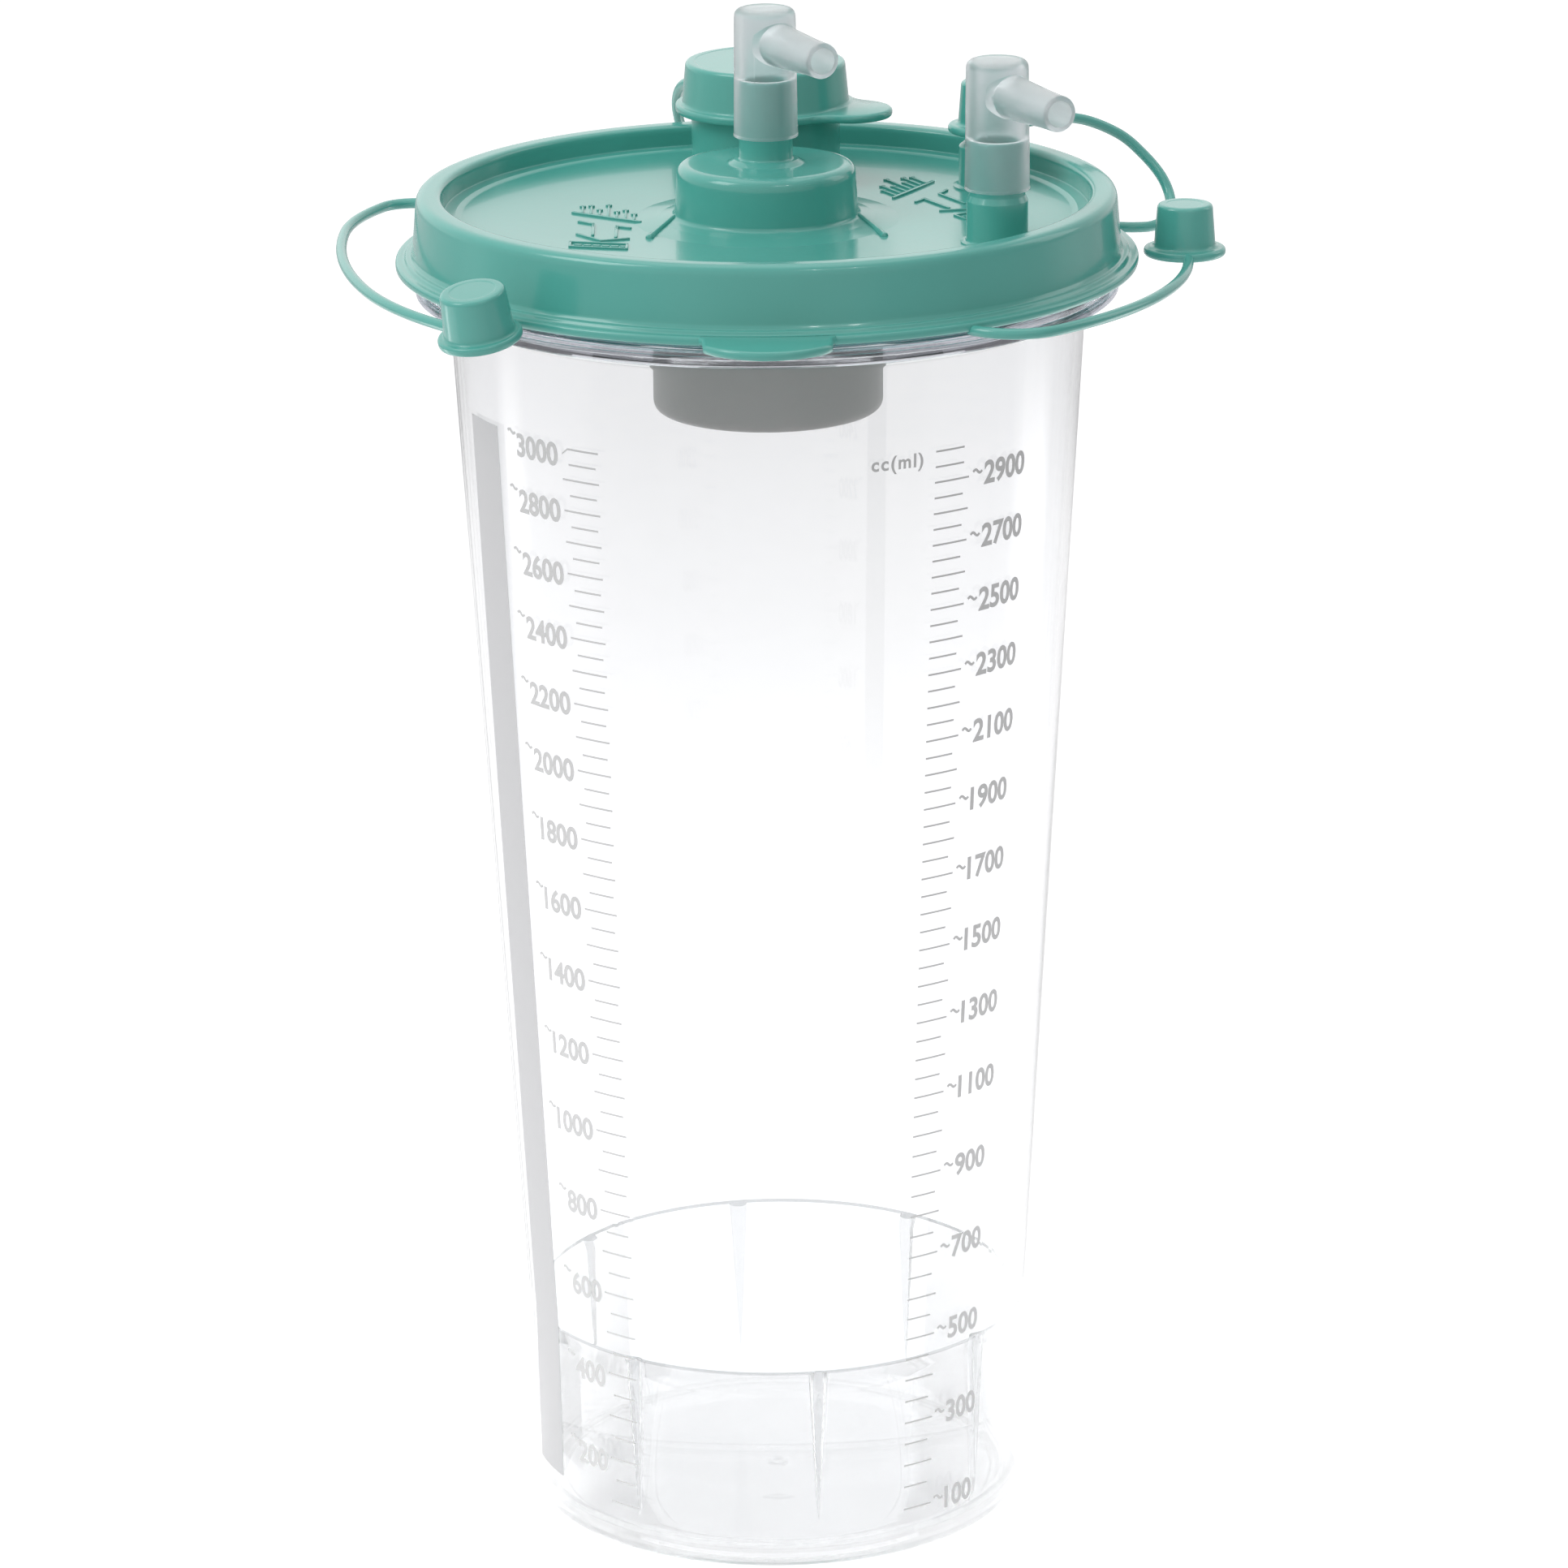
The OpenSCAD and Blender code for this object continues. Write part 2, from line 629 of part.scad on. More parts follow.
module right_cap_tether() {
    level_tether(right_start_az, right_cap_at, right_heading, right_turn_shares);
}

// Routes of the two tethers that rise to a port, from the flange to the cap. Each point
// gives its angle from the front, its share of the flange radius, and its share of the rise
tandem_route_shares = [[112.6, 0.985, 0], [109.5, 1.07, 0], [109.8, 1.135, 0], [112.2, 1.20, 0.05],
    [115, 1.23, 0.18], [117, 1.225, 0.36], [118.8, 1.19, 0.56], [120, 1.13, 0.76],
    [120.8, 1.03, 0.93], [121, 0.93, 1.0]];
large_route_shares = [[-172, 0.985, 0], [-171.5, 1.06, 0], [-169.5, 1.115, 0.12], [-167.8, 1.12, 0.4],
    [-166.3, 1.06, 0.7], [-166, 0.97, 0.92], [-167.5, 0.88, 1.01]];

// Last two points of a rising tether, which ends square to the edge of its cap
function cap_end(centre, az, flange, z) = [for (d = [2 * tether_d, slide_gap])
    [centre[0], centre[1], 0] + polar(az, flange + d, z)];

module rising_tether(shares, centre, az, flange, cap_z) {
    z = cap_z + cap_flange_t / 2;
    color(teal) sweep_strap(spline(concat(
        [for (s = shares) polar(s[0], s[1] * flange_r, tether_z + s[2] * (z - tether_z))],
        cap_end(centre, az, flange, z)), 4));
}

module tandem_cap_tether() {
    rising_tether(tandem_route_shares, [side_x, tandem_y], tandem_tether_az, small_flange_r, tandem_cap_z);
}

module large_cap_tether() {
    rising_tether(large_route_shares, [0, large_y], large_tether_az, large_cap_flange_r, large_cap_z);
}

module shutoff_housing() {
    color(grey) union() {
        rotate_extrude() polygon(concat(
            [[sill_r, housing_z], [housing_r - housing_round_r, housing_z]],
            arc(housing_r - housing_round_r, housing_z + housing_round_r, housing_round_r, -90, 0, 5),
            [[housing_r, roof_z], [housing_r - housing_t, roof_z]],
            [[housing_r - housing_t, housing_z + housing_round_r + cage_t],
            [housing_r - housing_t, cage_z + cage_t], [housing_r - housing_t, cage_z], [sill_r, cage_z]]));
        for (k = [0:fin_count - 1]) rotate([0, 0, (k + 0.5) * 360 / fin_count])
            translate([fin_r, -fin_t / 2, cage_z + cage_t + housing_round_r])
                cube([housing_r - housing_t / 2 - fin_r, fin_t, fin_h - housing_round_r]);
    }
}

module float_cage() {
    color(white) translate([0, 0, cage_z]) union() {
        difference() {
            cylinder(h = cage_t, r = cage_r);
            translate([0, 0, -overrun]) cylinder(h = cage_t + 2 * overrun, r = cage_r - cage_ring_w);
        }
        cylinder(h = cage_t, r = cage_hub_r, $fn = small_fn);
        for (k = [0:cage_bars - 1]) rotate([0, 0, k * 360 / cage_bars])
            translate([cage_hub_r - merge, -cage_bar_w / 2, (cage_t - cage_bar_t) / 2])
                cube([cage_r - cage_ring_w - cage_hub_r + 2 * merge, cage_bar_w, cage_bar_t]);
    }
}

module float_cup() {
    color(white) translate([0, 0, float_z]) rotate_extrude($fn = small_fn) polygon([
        [float_r - float_t, 0], [float_r, 0], [float_r, float_h - float_rim_t],
        [float_r - float_rim_t, float_h], [0, float_h], [0, float_h - float_t],
        [float_r - float_t, float_h - float_t]]);
}

module float_seal() {
    color(rubber) translate([0, 0, seal_z]) cylinder(h = seal_t, r = seal_r, $fn = small_fn);
}

canister();
lid();
vacuum_hub();
large_port();
patient_port();
tandem_port();
vacuum_elbow();
patient_elbow();
large_port_cap();
large_cap_tether();
tandem_port_cap();
tandem_cap_tether();
left_loose_cap();
left_cap_tether();
right_loose_cap();
right_cap_tether();
shutoff_housing();
float_cage();
float_cup();
float_seal();
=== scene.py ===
"""Looks of a suction canister: a clear graduated canister, its lid, elbows and tethered caps."""

import json
import logging
import math
from collections.abc import Callable, Sequence
from dataclasses import dataclass, field
from enum import Enum

import bmesh
import bpy
from mathutils import Matrix, Quaternion, Vector

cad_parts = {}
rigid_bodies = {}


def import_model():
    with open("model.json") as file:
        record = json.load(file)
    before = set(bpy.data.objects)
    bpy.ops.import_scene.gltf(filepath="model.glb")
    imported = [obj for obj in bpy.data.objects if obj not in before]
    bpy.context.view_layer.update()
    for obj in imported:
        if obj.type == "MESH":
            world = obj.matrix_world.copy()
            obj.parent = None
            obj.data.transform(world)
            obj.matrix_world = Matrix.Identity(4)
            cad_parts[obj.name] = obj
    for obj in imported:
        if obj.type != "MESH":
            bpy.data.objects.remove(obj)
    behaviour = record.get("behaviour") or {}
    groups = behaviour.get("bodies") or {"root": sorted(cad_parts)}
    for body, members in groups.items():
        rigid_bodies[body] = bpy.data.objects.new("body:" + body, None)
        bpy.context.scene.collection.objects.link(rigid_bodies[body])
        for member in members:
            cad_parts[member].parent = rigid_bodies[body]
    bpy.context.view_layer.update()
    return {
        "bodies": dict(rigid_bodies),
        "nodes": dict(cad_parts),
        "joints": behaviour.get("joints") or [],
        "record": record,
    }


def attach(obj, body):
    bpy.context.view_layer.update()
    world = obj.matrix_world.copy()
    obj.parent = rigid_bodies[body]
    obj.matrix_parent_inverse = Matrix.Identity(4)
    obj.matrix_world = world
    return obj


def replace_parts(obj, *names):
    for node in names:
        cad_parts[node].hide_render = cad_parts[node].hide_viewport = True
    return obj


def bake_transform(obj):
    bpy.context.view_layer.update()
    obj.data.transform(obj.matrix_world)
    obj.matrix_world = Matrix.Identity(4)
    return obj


log = logging.getLogger("canister")
MM = 0.001
Point2 = tuple[float, float]
Corner = tuple[float, float, float]


class Body(Enum):
    """Bodies of the frame that pieces ride on."""

    CANISTER = "canister"
    LID = "lid"
    VACUUM_ELBOW = "vacuum_elbow"
    PATIENT_ELBOW = "patient_elbow"
    LARGE_CAP = "large_cap"
    TANDEM_CAP = "tandem_cap"
    FLOAT = "float"


class Slot(Enum):
    """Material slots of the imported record."""

    CLEAR = "clear_plastic"
    LID = "lid_plastic"
    ELBOW = "elbow_plastic"
    HOUSING = "housing_plastic"
    FLOAT = "float_plastic"
    SEAL = "seal_rubber"


class Column(Enum):
    """The two columns of the printed scale."""

    LEFT = -1
    RIGHT = 1


# Node trees


class Tree:
    """A small builder for the node tree of one material, or of the world."""

    def __init__(self, name: str, world: bool = False) -> None:
        """Starts an empty tree.

        Args:
            name: Name of the material or the world.
            world: Whether the tree is the world's.
        """
        self.owner = bpy.data.worlds.new(name) if world else bpy.data.materials.new(name)
        self.owner.use_nodes = True
        self.nodes = self.owner.node_tree.nodes
        self.links = self.owner.node_tree.links
        self.nodes.clear()
        self.output = self.nodes.new("ShaderNodeOutputWorld" if world else "ShaderNodeOutputMaterial")

    def add(self, kind: str, **inputs: object) -> bpy.types.Node:
        """Adds a node and sets its sockets.

        Args:
            kind: Blender's name of the node type.
            **inputs: Socket names, with spaces as underscores, and their values or source sockets.

        Returns:
            The new node.
        """
        node = self.nodes.new(kind)
        for key, value in inputs.items():
            self.put(node.inputs[key.replace("_", " ")], value)
        return node

    def put(self, socket: bpy.types.NodeSocket, value: object) -> None:
        """Links a source socket to a socket, or sets the socket's value."""
        if isinstance(value, bpy.types.NodeSocket):
            self.links.new(value, socket)
        else:
            socket.default_value = value

    def math(self, operation: str, *values: object) -> bpy.types.NodeSocket:
        """Adds one sum of numbers or sockets and returns its socket."""
        node = self.nodes.new("ShaderNodeMath")
        node.operation = operation
        for i, value in enumerate(values):
            self.put(node.inputs[i], value)
        return node.outputs[0]

    def ramp(self, source: bpy.types.NodeSocket, stops: Sequence[Point2]) -> bpy.types.NodeSocket:
        """Maps a factor through grey stops of place and level and returns the level's socket."""
        node = self.nodes.new("ShaderNodeValToRGB")
        self.put(node.inputs["Fac"], source)
        for place, _ in stops[1:-1]:
            node.color_ramp.elements.new(place)
        for element, (place, level) in zip(node.color_ramp.elements, stops):
            element.position = place
            element.color = (level, level, level, 1)
        return node.outputs["Color"]

    def noise(self, scale: float, detail: float = 2.0, stretch: Vector | None = None) -> bpy.types.NodeSocket:
        """Adds noise in the frame's own coordinates.

        Args:
            scale: Cells in a metre.
            detail: Octaves of the noise.
            stretch: Scale along X, Y and Z, for grain that runs one way.

        Returns:
            The noise's factor socket.
        """
        where = self.nodes.new("ShaderNodeTexCoord").outputs["Object"]
        if stretch is not None:
            mapping = self.nodes.new("ShaderNodeMapping")
            mapping.inputs["Scale"].default_value = stretch
            self.links.new(where, mapping.inputs["Vector"])
            where = mapping.outputs["Vector"]
        return self.add("ShaderNodeTexNoise", Vector=where, Scale=scale, Detail=detail).outputs["Fac"]

    def spread(self, source: bpy.types.NodeSocket, low: float, high: float) -> bpy.types.NodeSocket:
        """Maps a noise factor to a range and returns the result's socket."""
        node = self.nodes.new("ShaderNodeMapRange")
        self.put(node.inputs["Value"], source)
        for key, value in (("From Min", 0.3), ("From Max", 0.7), ("To Min", low), ("To Max", high)):
            node.inputs[key].default_value = value
        return node.outputs["Result"]

    def blend(self, source: bpy.types.NodeSocket, low: Sequence[float], high: Sequence[float]) -> bpy.types.NodeSocket:
        """Mixes two colours by a factor and returns the result's socket."""
        node = self.nodes.new("ShaderNodeValToRGB")
        node.color_ramp.elements[0].position = 0.3
        node.color_ramp.elements[1].position = 0.7
        node.color_ramp.elements[0].color = (*low, 1)
        node.color_ramp.elements[1].color = (*high, 1)
        self.put(node.inputs["Fac"], source)
        return node.outputs["Color"]

    def bump(self, height: bpy.types.NodeSocket, strength: float, distance: float) -> bpy.types.NodeSocket:
        """Adds a bump of a height in metres and returns its normal socket."""
        return self.add("ShaderNodeBump", Height=height, Strength=strength, Distance=distance).outputs["Normal"]

    def lit_through(self, solid: bpy.types.NodeSocket, open_way: bpy.types.NodeSocket, share: float = 1.0,
                    always: float = 0.0) -> bpy.types.NodeSocket:
        """Lets a share of the light of lamps and walls pass a see-through shader straight.

        Args:
            solid: The shader that is seen.
            open_way: The shader that light passes.
            share: Share of that light that passes.
            always: Share of the open way that is seen as well.

        Returns:
            The mixed shader's socket.
        """
        path = self.nodes.new("ShaderNodeLightPath")
        either = self.math("MAXIMUM", path.outputs["Is Shadow Ray"], path.outputs["Is Diffuse Ray"])
        seen = self.math("MAXIMUM", self.math("MULTIPLY", either, share), always)
        mix = self.nodes.new("ShaderNodeMixShader")
        self.put(mix.inputs[0], seen)
        self.put(mix.inputs[1], solid)
        self.put(mix.inputs[2], open_way)
        return mix.outputs["Shader"]

    def finish(self, shader: bpy.types.NodeSocket) -> bpy.types.ID:
        """Links the shader to the output and returns the material."""
        self.links.new(shader, self.output.inputs["Surface"])
        return self.owner


def scaled(colour: Sequence[float], share: float) -> tuple[float, float, float]:
    """Returns a colour made lighter or darker by a share."""
    return tuple(min(1.0, c * share) for c in colour)


@dataclass(frozen=True)
class MouldedPlastic:
    """A glossy or satin moulded plastic with faint flow marks and a fine bloom."""

    name: str
    colour: tuple[float, float, float]
    roughness: float = 0.28
    spread: float = 0.05
    mottle: float = 0.03
    skin_scale: float = 900.0
    skin_height: float = 0.00002
    flow_scale: float = 28.0
    subsurface: float = 0.0
    coat: float = 0.0
    coat_roughness: float = 0.05

    def build(self) -> bpy.types.Material:
        """Builds and returns the material."""
        tree = Tree(self.name)
        flow = tree.noise(self.flow_scale, 3.0)
        skin = tree.noise(self.skin_scale, 2.0)
        shader = tree.add(
            "ShaderNodeBsdfPrincipled",
            Base_Color=tree.blend(flow, scaled(self.colour, 1 - self.mottle), scaled(self.colour, 1 + self.mottle)),
            Roughness=tree.spread(skin, self.roughness - self.spread, self.roughness + self.spread),
            Normal=tree.bump(skin, 0.35, self.skin_height),
        )
        shader.inputs["IOR"].default_value = 1.5
        shader.inputs["Coat Weight"].default_value = self.coat
        shader.inputs["Coat Roughness"].default_value = self.coat_roughness
        if self.subsurface > 0:
            shader.inputs["Subsurface Weight"].default_value = self.subsurface
            shader.inputs["Subsurface Radius"].default_value = (0.002, 0.003, 0.003)
            shader.inputs["Subsurface Scale"].default_value = 1.0
        return tree.finish(shader.outputs["BSDF"])


@dataclass(frozen=True)
class ClearPlastic:
    """Clear polished plastic that lets lamps through."""

    name: str
    colour: tuple[float, float, float]
    ior: float = 1.5
    roughness: float = 0.0
    ripple_scale: float = 7.0
    ripple_height: float = 0.00012
    open_share: float = 0.0

    def build(self) -> bpy.types.Material:
        """Builds and returns the material."""
        tree = Tree(self.name)
        ripple = tree.noise(self.ripple_scale, 1.0, Vector((3.0, 3.0, 0.6)))
        tint = tree.blend(ripple, self.colour, scaled(self.colour, 1.01))
        glass = tree.add("ShaderNodeBsdfPrincipled", Base_Color=tint, Normal=tree.bump(ripple, 0.5, self.ripple_height))
        glass.inputs["Roughness"].default_value = self.roughness
        glass.inputs["IOR"].default_value = self.ior
        glass.inputs["Transmission Weight"].default_value = 1.0
        open_way = tree.add("ShaderNodeBsdfTransparent", Color=(*self.colour, 1))
        return tree.finish(tree.lit_through(glass.outputs["BSDF"], open_way.outputs["BSDF"], 1.0, self.open_share))


@dataclass(frozen=True)
class MilkyPlastic:
    """Soft cloudy plastic that shows what touches it and hides what is farther behind it."""

    name: str
    colour: tuple[float, float, float]
    roughness: float = 0.3
    ior: float = 1.28
    transmission: float = 0.9
    lit_share: float = 0.95

    def build(self) -> bpy.types.Material:
        """Builds and returns the material."""
        tree = Tree(self.name)
        cloud = tree.noise(160.0, 3.0)
        skin = tree.noise(300.0, 2.0)
        shader = tree.add(
            "ShaderNodeBsdfPrincipled",
            Base_Color=tree.blend(cloud, scaled(self.colour, 0.98), scaled(self.colour, 1.01)),
            Roughness=tree.spread(skin, self.roughness - 0.02, self.roughness + 0.02),
        )
        shader.inputs["IOR"].default_value = self.ior
        shader.inputs["Transmission Weight"].default_value = self.transmission
        shader.inputs["Coat Weight"].default_value = 0.3
        shader.inputs["Coat Roughness"].default_value = 0.12
        open_way = tree.add("ShaderNodeBsdfTransparent", Color=(*scaled(self.colour, 0.95), 1))
        return tree.finish(tree.lit_through(shader.outputs["BSDF"], open_way.outputs["BSDF"], self.lit_share))


@dataclass(frozen=True)
class PrintInk:
    """Thin grey screen print, a little uneven where the ink lay thin, with painted shade: its colour runs from the
    bottom colour to the top colour with height, darker towards the top.
    """

    name: str
    top: tuple[float, float, float]
    bottom: tuple[float, float, float]
    top_z: float = 0.27
    grain: float = 2400.0

    def build(self) -> bpy.types.Material:
        """Builds and returns the material."""
        tree = Tree(self.name)
        # Painted shade: the ink's colour is blended by height from the bottom colour to the top colour.
        where = tree.nodes.new("ShaderNodeSeparateXYZ")
        tree.put(where.inputs["Vector"], tree.nodes.new("ShaderNodeTexCoord").outputs["Object"])
        height = tree.nodes.new("ShaderNodeMapRange")
        tree.put(height.inputs["Value"], where.outputs["Z"])
        height.inputs["From Max"].default_value = self.top_z
        shade = tree.nodes.new("ShaderNodeMix")
        shade.data_type = "RGBA"
        tree.put(shade.inputs["Factor"], height.outputs["Result"])
        shade.inputs[6].default_value = (*self.bottom, 1)
        shade.inputs[7].default_value = (*self.top, 1)
        grain = tree.noise(self.grain, 2.0)
        shader = tree.add(
            "ShaderNodeBsdfPrincipled",
            Base_Color=shade.outputs[2],
            Roughness=tree.spread(grain, 0.5, 0.7),
            Normal=tree.bump(grain, 0.2, 0.00001),
        )
        return tree.finish(shader.outputs["BSDF"])


@dataclass(frozen=True)
class Palette:
    """Every finish of the object, built once."""

    clear: ClearPlastic = ClearPlastic("clear_canister", (0.985, 0.988, 0.995))
    teal: MouldedPlastic = MouldedPlastic("teal_lid", (0.092, 0.41, 0.355), roughness=0.2, spread=0.02, subsurface=0.05, coat=0.3)
    # Rim, base, ledge and rib are the wall's own clear plastic tinted darker: painted shade on those parts.
    rim: ClearPlastic = ClearPlastic("clear_rim_painted_shade", (0.90, 0.91, 0.96), open_share=0.45)
    base: ClearPlastic = ClearPlastic("clear_base_painted_shade", (0.965, 0.967, 0.97), open_share=0.42)
    ledge: ClearPlastic = ClearPlastic("clear_ledge_painted_shade", (0.60, 0.61, 0.62), open_share=0.8)
    rib: ClearPlastic = ClearPlastic("clear_rib_painted_shade", (0.72, 0.73, 0.74), open_share=0.1)
    milky: MilkyPlastic = MilkyPlastic("milky_elbow", (0.90, 0.93, 0.94))
    grey: MouldedPlastic = MouldedPlastic("grey_housing", (0.27, 0.27, 0.26), roughness=0.42)
    white: MouldedPlastic = MouldedPlastic("white_float", (0.80, 0.80, 0.77), roughness=0.4)
    rubber: MouldedPlastic = MouldedPlastic("seal_rubber", (0.035, 0.038, 0.042), roughness=0.6)
    # The inks carry painted shade: darker towards the top, and the right column shaded apart from the left.
    left_ink: PrintInk = PrintInk("left_ink", (0.62, 0.62, 0.62), (0.88, 0.88, 0.88))
    right_ink: PrintInk = PrintInk("right_ink", (0.57, 0.57, 0.57), (1.0, 1.0, 1.0))
    strip: PrintInk = PrintInk("strip_ink_painted_shade", (0.60, 0.60, 0.61), (0.76, 0.76, 0.77))


class Finishes:
    """Builds each finish on first use."""

    def __init__(self, palette: Palette) -> None:
        """Keeps the palette.

        Args:
            palette: The finishes to build from.
        """
        self.palette = palette
        self.made: dict[str, bpy.types.Material] = {}

    def get(self, name: str) -> bpy.types.Material:
        """Returns the material of one finish by its name in the palette."""
        if name not in self.made:
            self.made[name] = getattr(self.palette, name).build()
        return self.made[name]


# Mesh tools


def rounded(corners: Sequence[Corner], steps: int = 4) -> list[Point2]:
    """Rounds the corners of an outline.

    Args:
        corners: Radius from the axis, height and corner radius of each point, in millimetres.
        steps: Points on each rounded corner, less one.

    Returns:
        The points of the rounded outline.
    """
    out: list[Point2] = []
    last = len(corners) - 1
    for i, (x, z, radius) in enumerate(corners):
        if radius <= 0 or i in (0, last):
            out.append((x, z))
            continue
        here = Vector((x, z))
        back = Vector(corners[i - 1][:2]) - here
        ahead = Vector(corners[i + 1][:2]) - here
        cos_half = math.cos(back.angle(ahead) / 2)
        cut = radius * cos_half / max(1e-6, math.sqrt(1 - cos_half * cos_half))
        cut = min(cut, 0.49 * back.length, 0.49 * ahead.length)
        start, end = here + back.normalized() * cut, here + ahead.normalized() * cut
        for k in range(steps + 1):
            t = k / steps
            p = start * (1 - t) ** 2 + here * 2 * t * (1 - t) + end * t * t
            out.append((p.x, p.y))
    return out


def braced(outline: Sequence[Point2], ring: bool, reach: float = 0.5) -> list[Point2]:
    """Adds a point near each end of every long line, so that shading stays true along it.

    Args:
        outline: Radius and height of each point, in millimetres.
        ring: Whether the outline closes on itself.
        reach: Distance of the added points from the ends, in millimetres.

    Returns:
        The outline with its added points.
    """
    out: list[Point2] = []
    count = len(outline)
    for i in range(count):
        a, b = Vector(outline[i]), Vector(outline[(i + 1) % count])
        out.append((a.x, a.y))
        length = (b - a).length
        if length > 4 * reach and (ring or i < count - 1):
            step = (b - a) * (reach / length)
            out += [((a + step).x, (a + step).y), ((b - step).x, (b - step).y)]
    return out


def new_object(name: str, verts: Sequence[Sequence[float]], faces: Sequence[Sequence[int]],
               sharp: float = 38.0) -> bpy.types.Object:
    """Makes a smooth-shaded mesh object with its normals outward.

    Args:
        name: Name of the piece.
        verts: Points in metres, in the frame.
        faces: Lists of point numbers.
        sharp: Angle in degrees above which an edge stays sharp.

    Returns:
        The new object, in the scene.
    """
    mesh = bpy.data.meshes.new(name)
    mesh.from_pydata([tuple(v) for v in verts], [], [tuple(f) for f in faces])
    obj = bpy.data.objects.new(name, mesh)
    bpy.context.scene.collection.objects.link(obj)
    tidy_mesh(obj, sharp)
    return obj


def tidy_mesh(obj: bpy.types.Object, sharp: float = 38.0) -> None:
    """Merges doubled points, turns the normals outward and shades the mesh smooth."""
    work = bmesh.new()
    work.from_mesh(obj.data)
    bmesh.ops.remove_doubles(work, verts=work.verts, dist=1e-7)
    bmesh.ops.dissolve_degenerate(work, edges=work.edges, dist=1e-8)
    bmesh.ops.recalc_face_normals(work, faces=work.faces)
    work.to_mesh(obj.data)
    work.free()
    obj.data.polygons.foreach_set("use_smooth", [True] * len(obj.data.polygons))
    obj.data.set_sharp_from_angle(angle=math.radians(sharp))
    obj.data.update()


def lathe(name: str, outline: Sequence[Point2], segments: int = 192, centre: Vector | None = None,
          ring: bool = False) -> bpy.types.Object:
    """Turns an outline round the vertical axis.

    Args:
        name: Name of the piece.
        outline: Radius and height of each point, in millimetres.
        segments: Steps round the axis.
        centre: Where the axis stands, in metres.
        ring: Whether the outline closes on itself instead of ending on the axis.

    Returns:
        The new object.
    """
    base = centre or Vector((0, 0, 0))
    verts: list[Vector] = []
    rows: list[list[int]] = []
    for r, z in braced(outline, ring):
        if r < 1e-6:
            verts.append(base + Vector((0, 0, z * MM)))
            rows.append([len(verts) - 1] * segments)
            continue
        rows.append(list(range(len(verts), len(verts) + segments)))
        for k in range(segments):
            a = 2 * math.pi * k / segments
            verts.append(base + Vector((r * MM * math.sin(a), -r * MM * math.cos(a), z * MM)))
    faces = []
    count = len(rows) if ring else len(rows) - 1
    for i in range(count):
        low, high = rows[i], rows[(i + 1) % len(rows)]
        for k in range(segments):
            j = (k + 1) % segments
            loop = list(dict.fromkeys((low[k], low[j], high[j], high[k])))
            if len(loop) > 2:
                faces.append(loop)
    return new_object(name, verts, faces)


def polar(azimuth: float, radius: float, z: float) -> Vector:
    """Returns a point from its angle to the front in degrees, and its radius and height in millimetres."""
    a = math.radians(azimuth)
    return Vector((radius * math.sin(a), -radius * math.cos(a), z)) * MM


def tube(name: str, points: Sequence[Vector], radius: float, sides: int = 20, flat: float = 1.0,
         swell: Callable[[float], float] = lambda t: 1.0) -> bpy.types.Object:
    """Sweeps a round strap with rounded ends along a line of points.

    Args:
        name: Name of the piece.
        points: Points in metres, close together.
        radius: Radius in millimetres.
        sides: Sides of the section.
        flat: Height of the section as a share of its width.
        swell: Radius as a share of the first, by the share of the way along the line.

    Returns:
        The new object.
    """
    verts: list[Vector] = []
    side = None
    for i, p in enumerate(points):
        along = (points[min(i + 1, len(points) - 1)] - points[max(i - 1, 0)]).normalized()
        side = along.cross(Vector((0, 0, 1))) if side is None else side
        side = (side - along * side.dot(along)).normalized()
        up = along.cross(side)
        wide = radius * swell(i / (len(points) - 1)) * MM
        for k in range(sides):
            a = 2 * math.pi * k / sides
            verts.append(p + (side * math.cos(a) + up * math.sin(a) * flat) * wide)
    faces = [
        (i * sides + k, i * sides + (k + 1) % sides, (i + 1) * sides + (k + 1) % sides, (i + 1) * sides + k)
        for i in range(len(points) - 1) for k in range(sides)
    ]
    faces += [tuple(range(sides)), tuple(range((len(points) - 1) * sides, len(points) * sides))]
    return new_object(name, verts, faces, sharp=60.0)


def smooth_line(points: Sequence[Vector], steps: int) -> list[Vector]:
    """Returns points on a Catmull-Rom curve through a line of points.

    Args:
        points: The points to pass through.
        steps: Steps between two points.

    Returns:
        The points of the curve.
    """
    out = []
    last = len(points) - 1
    for i in range(last):
        a, b, c, d = points[max(i - 1, 0)], points[i], points[i + 1], points[min(i + 2, last)]
        for k in range(steps):
            t = k / steps
            out.append(0.5 * (2 * b + (c - a) * t + (2 * a - 5 * b + 4 * c - d) * t * t
                              + (3 * b - a - 3 * c + d) * t ** 3))
    out.append(points[last].copy())
    return out


def prism(name: str, outline: Sequence[Point2], low: float, high: float, edge: float = 0.4,
          sharp: float = 38.0) -> bpy.types.Object:
    """Makes a flat plate with rounded edges from an outline.

    Args:
        name: Name of the piece.
        outline: X and Y of each point, in millimetres, in order.
        low: Height of the underside in millimetres.
        high: Height of the top in millimetres.
        edge: Radius of the rounded edges in millimetres.
        sharp: Angle in degrees above which an edge stays sharp.

    Returns:
        The new object.
    """
    work = bmesh.new()
    verts = [work.verts.new((x * MM, y * MM, low * MM)) for x, y in outline]
    face = work.faces.new(verts)
    raised = bmesh.ops.extrude_face_region(work, geom=[face])["geom"]
    bmesh.ops.translate(work, verts=[g for g in raised if isinstance(g, bmesh.types.BMVert)],
                        vec=(0, 0, (high - low) * MM))
    bmesh.ops.recalc_face_normals(work, faces=work.faces)
    rims = [e for e in work.edges if abs(e.verts[0].co.z - e.verts[1].co.z) < 1e-9]
    if edge > 0:
        bmesh.ops.bevel(work, geom=rims, offset=edge * MM, segments=3, profile=0.5, affect="EDGES")
    mesh = bpy.data.meshes.new(name)
    work.to_mesh(mesh)
    work.free()
    obj = bpy.data.objects.new(name, mesh)
    bpy.context.scene.collection.objects.link(obj)
    tidy_mesh(obj, sharp)
    return obj


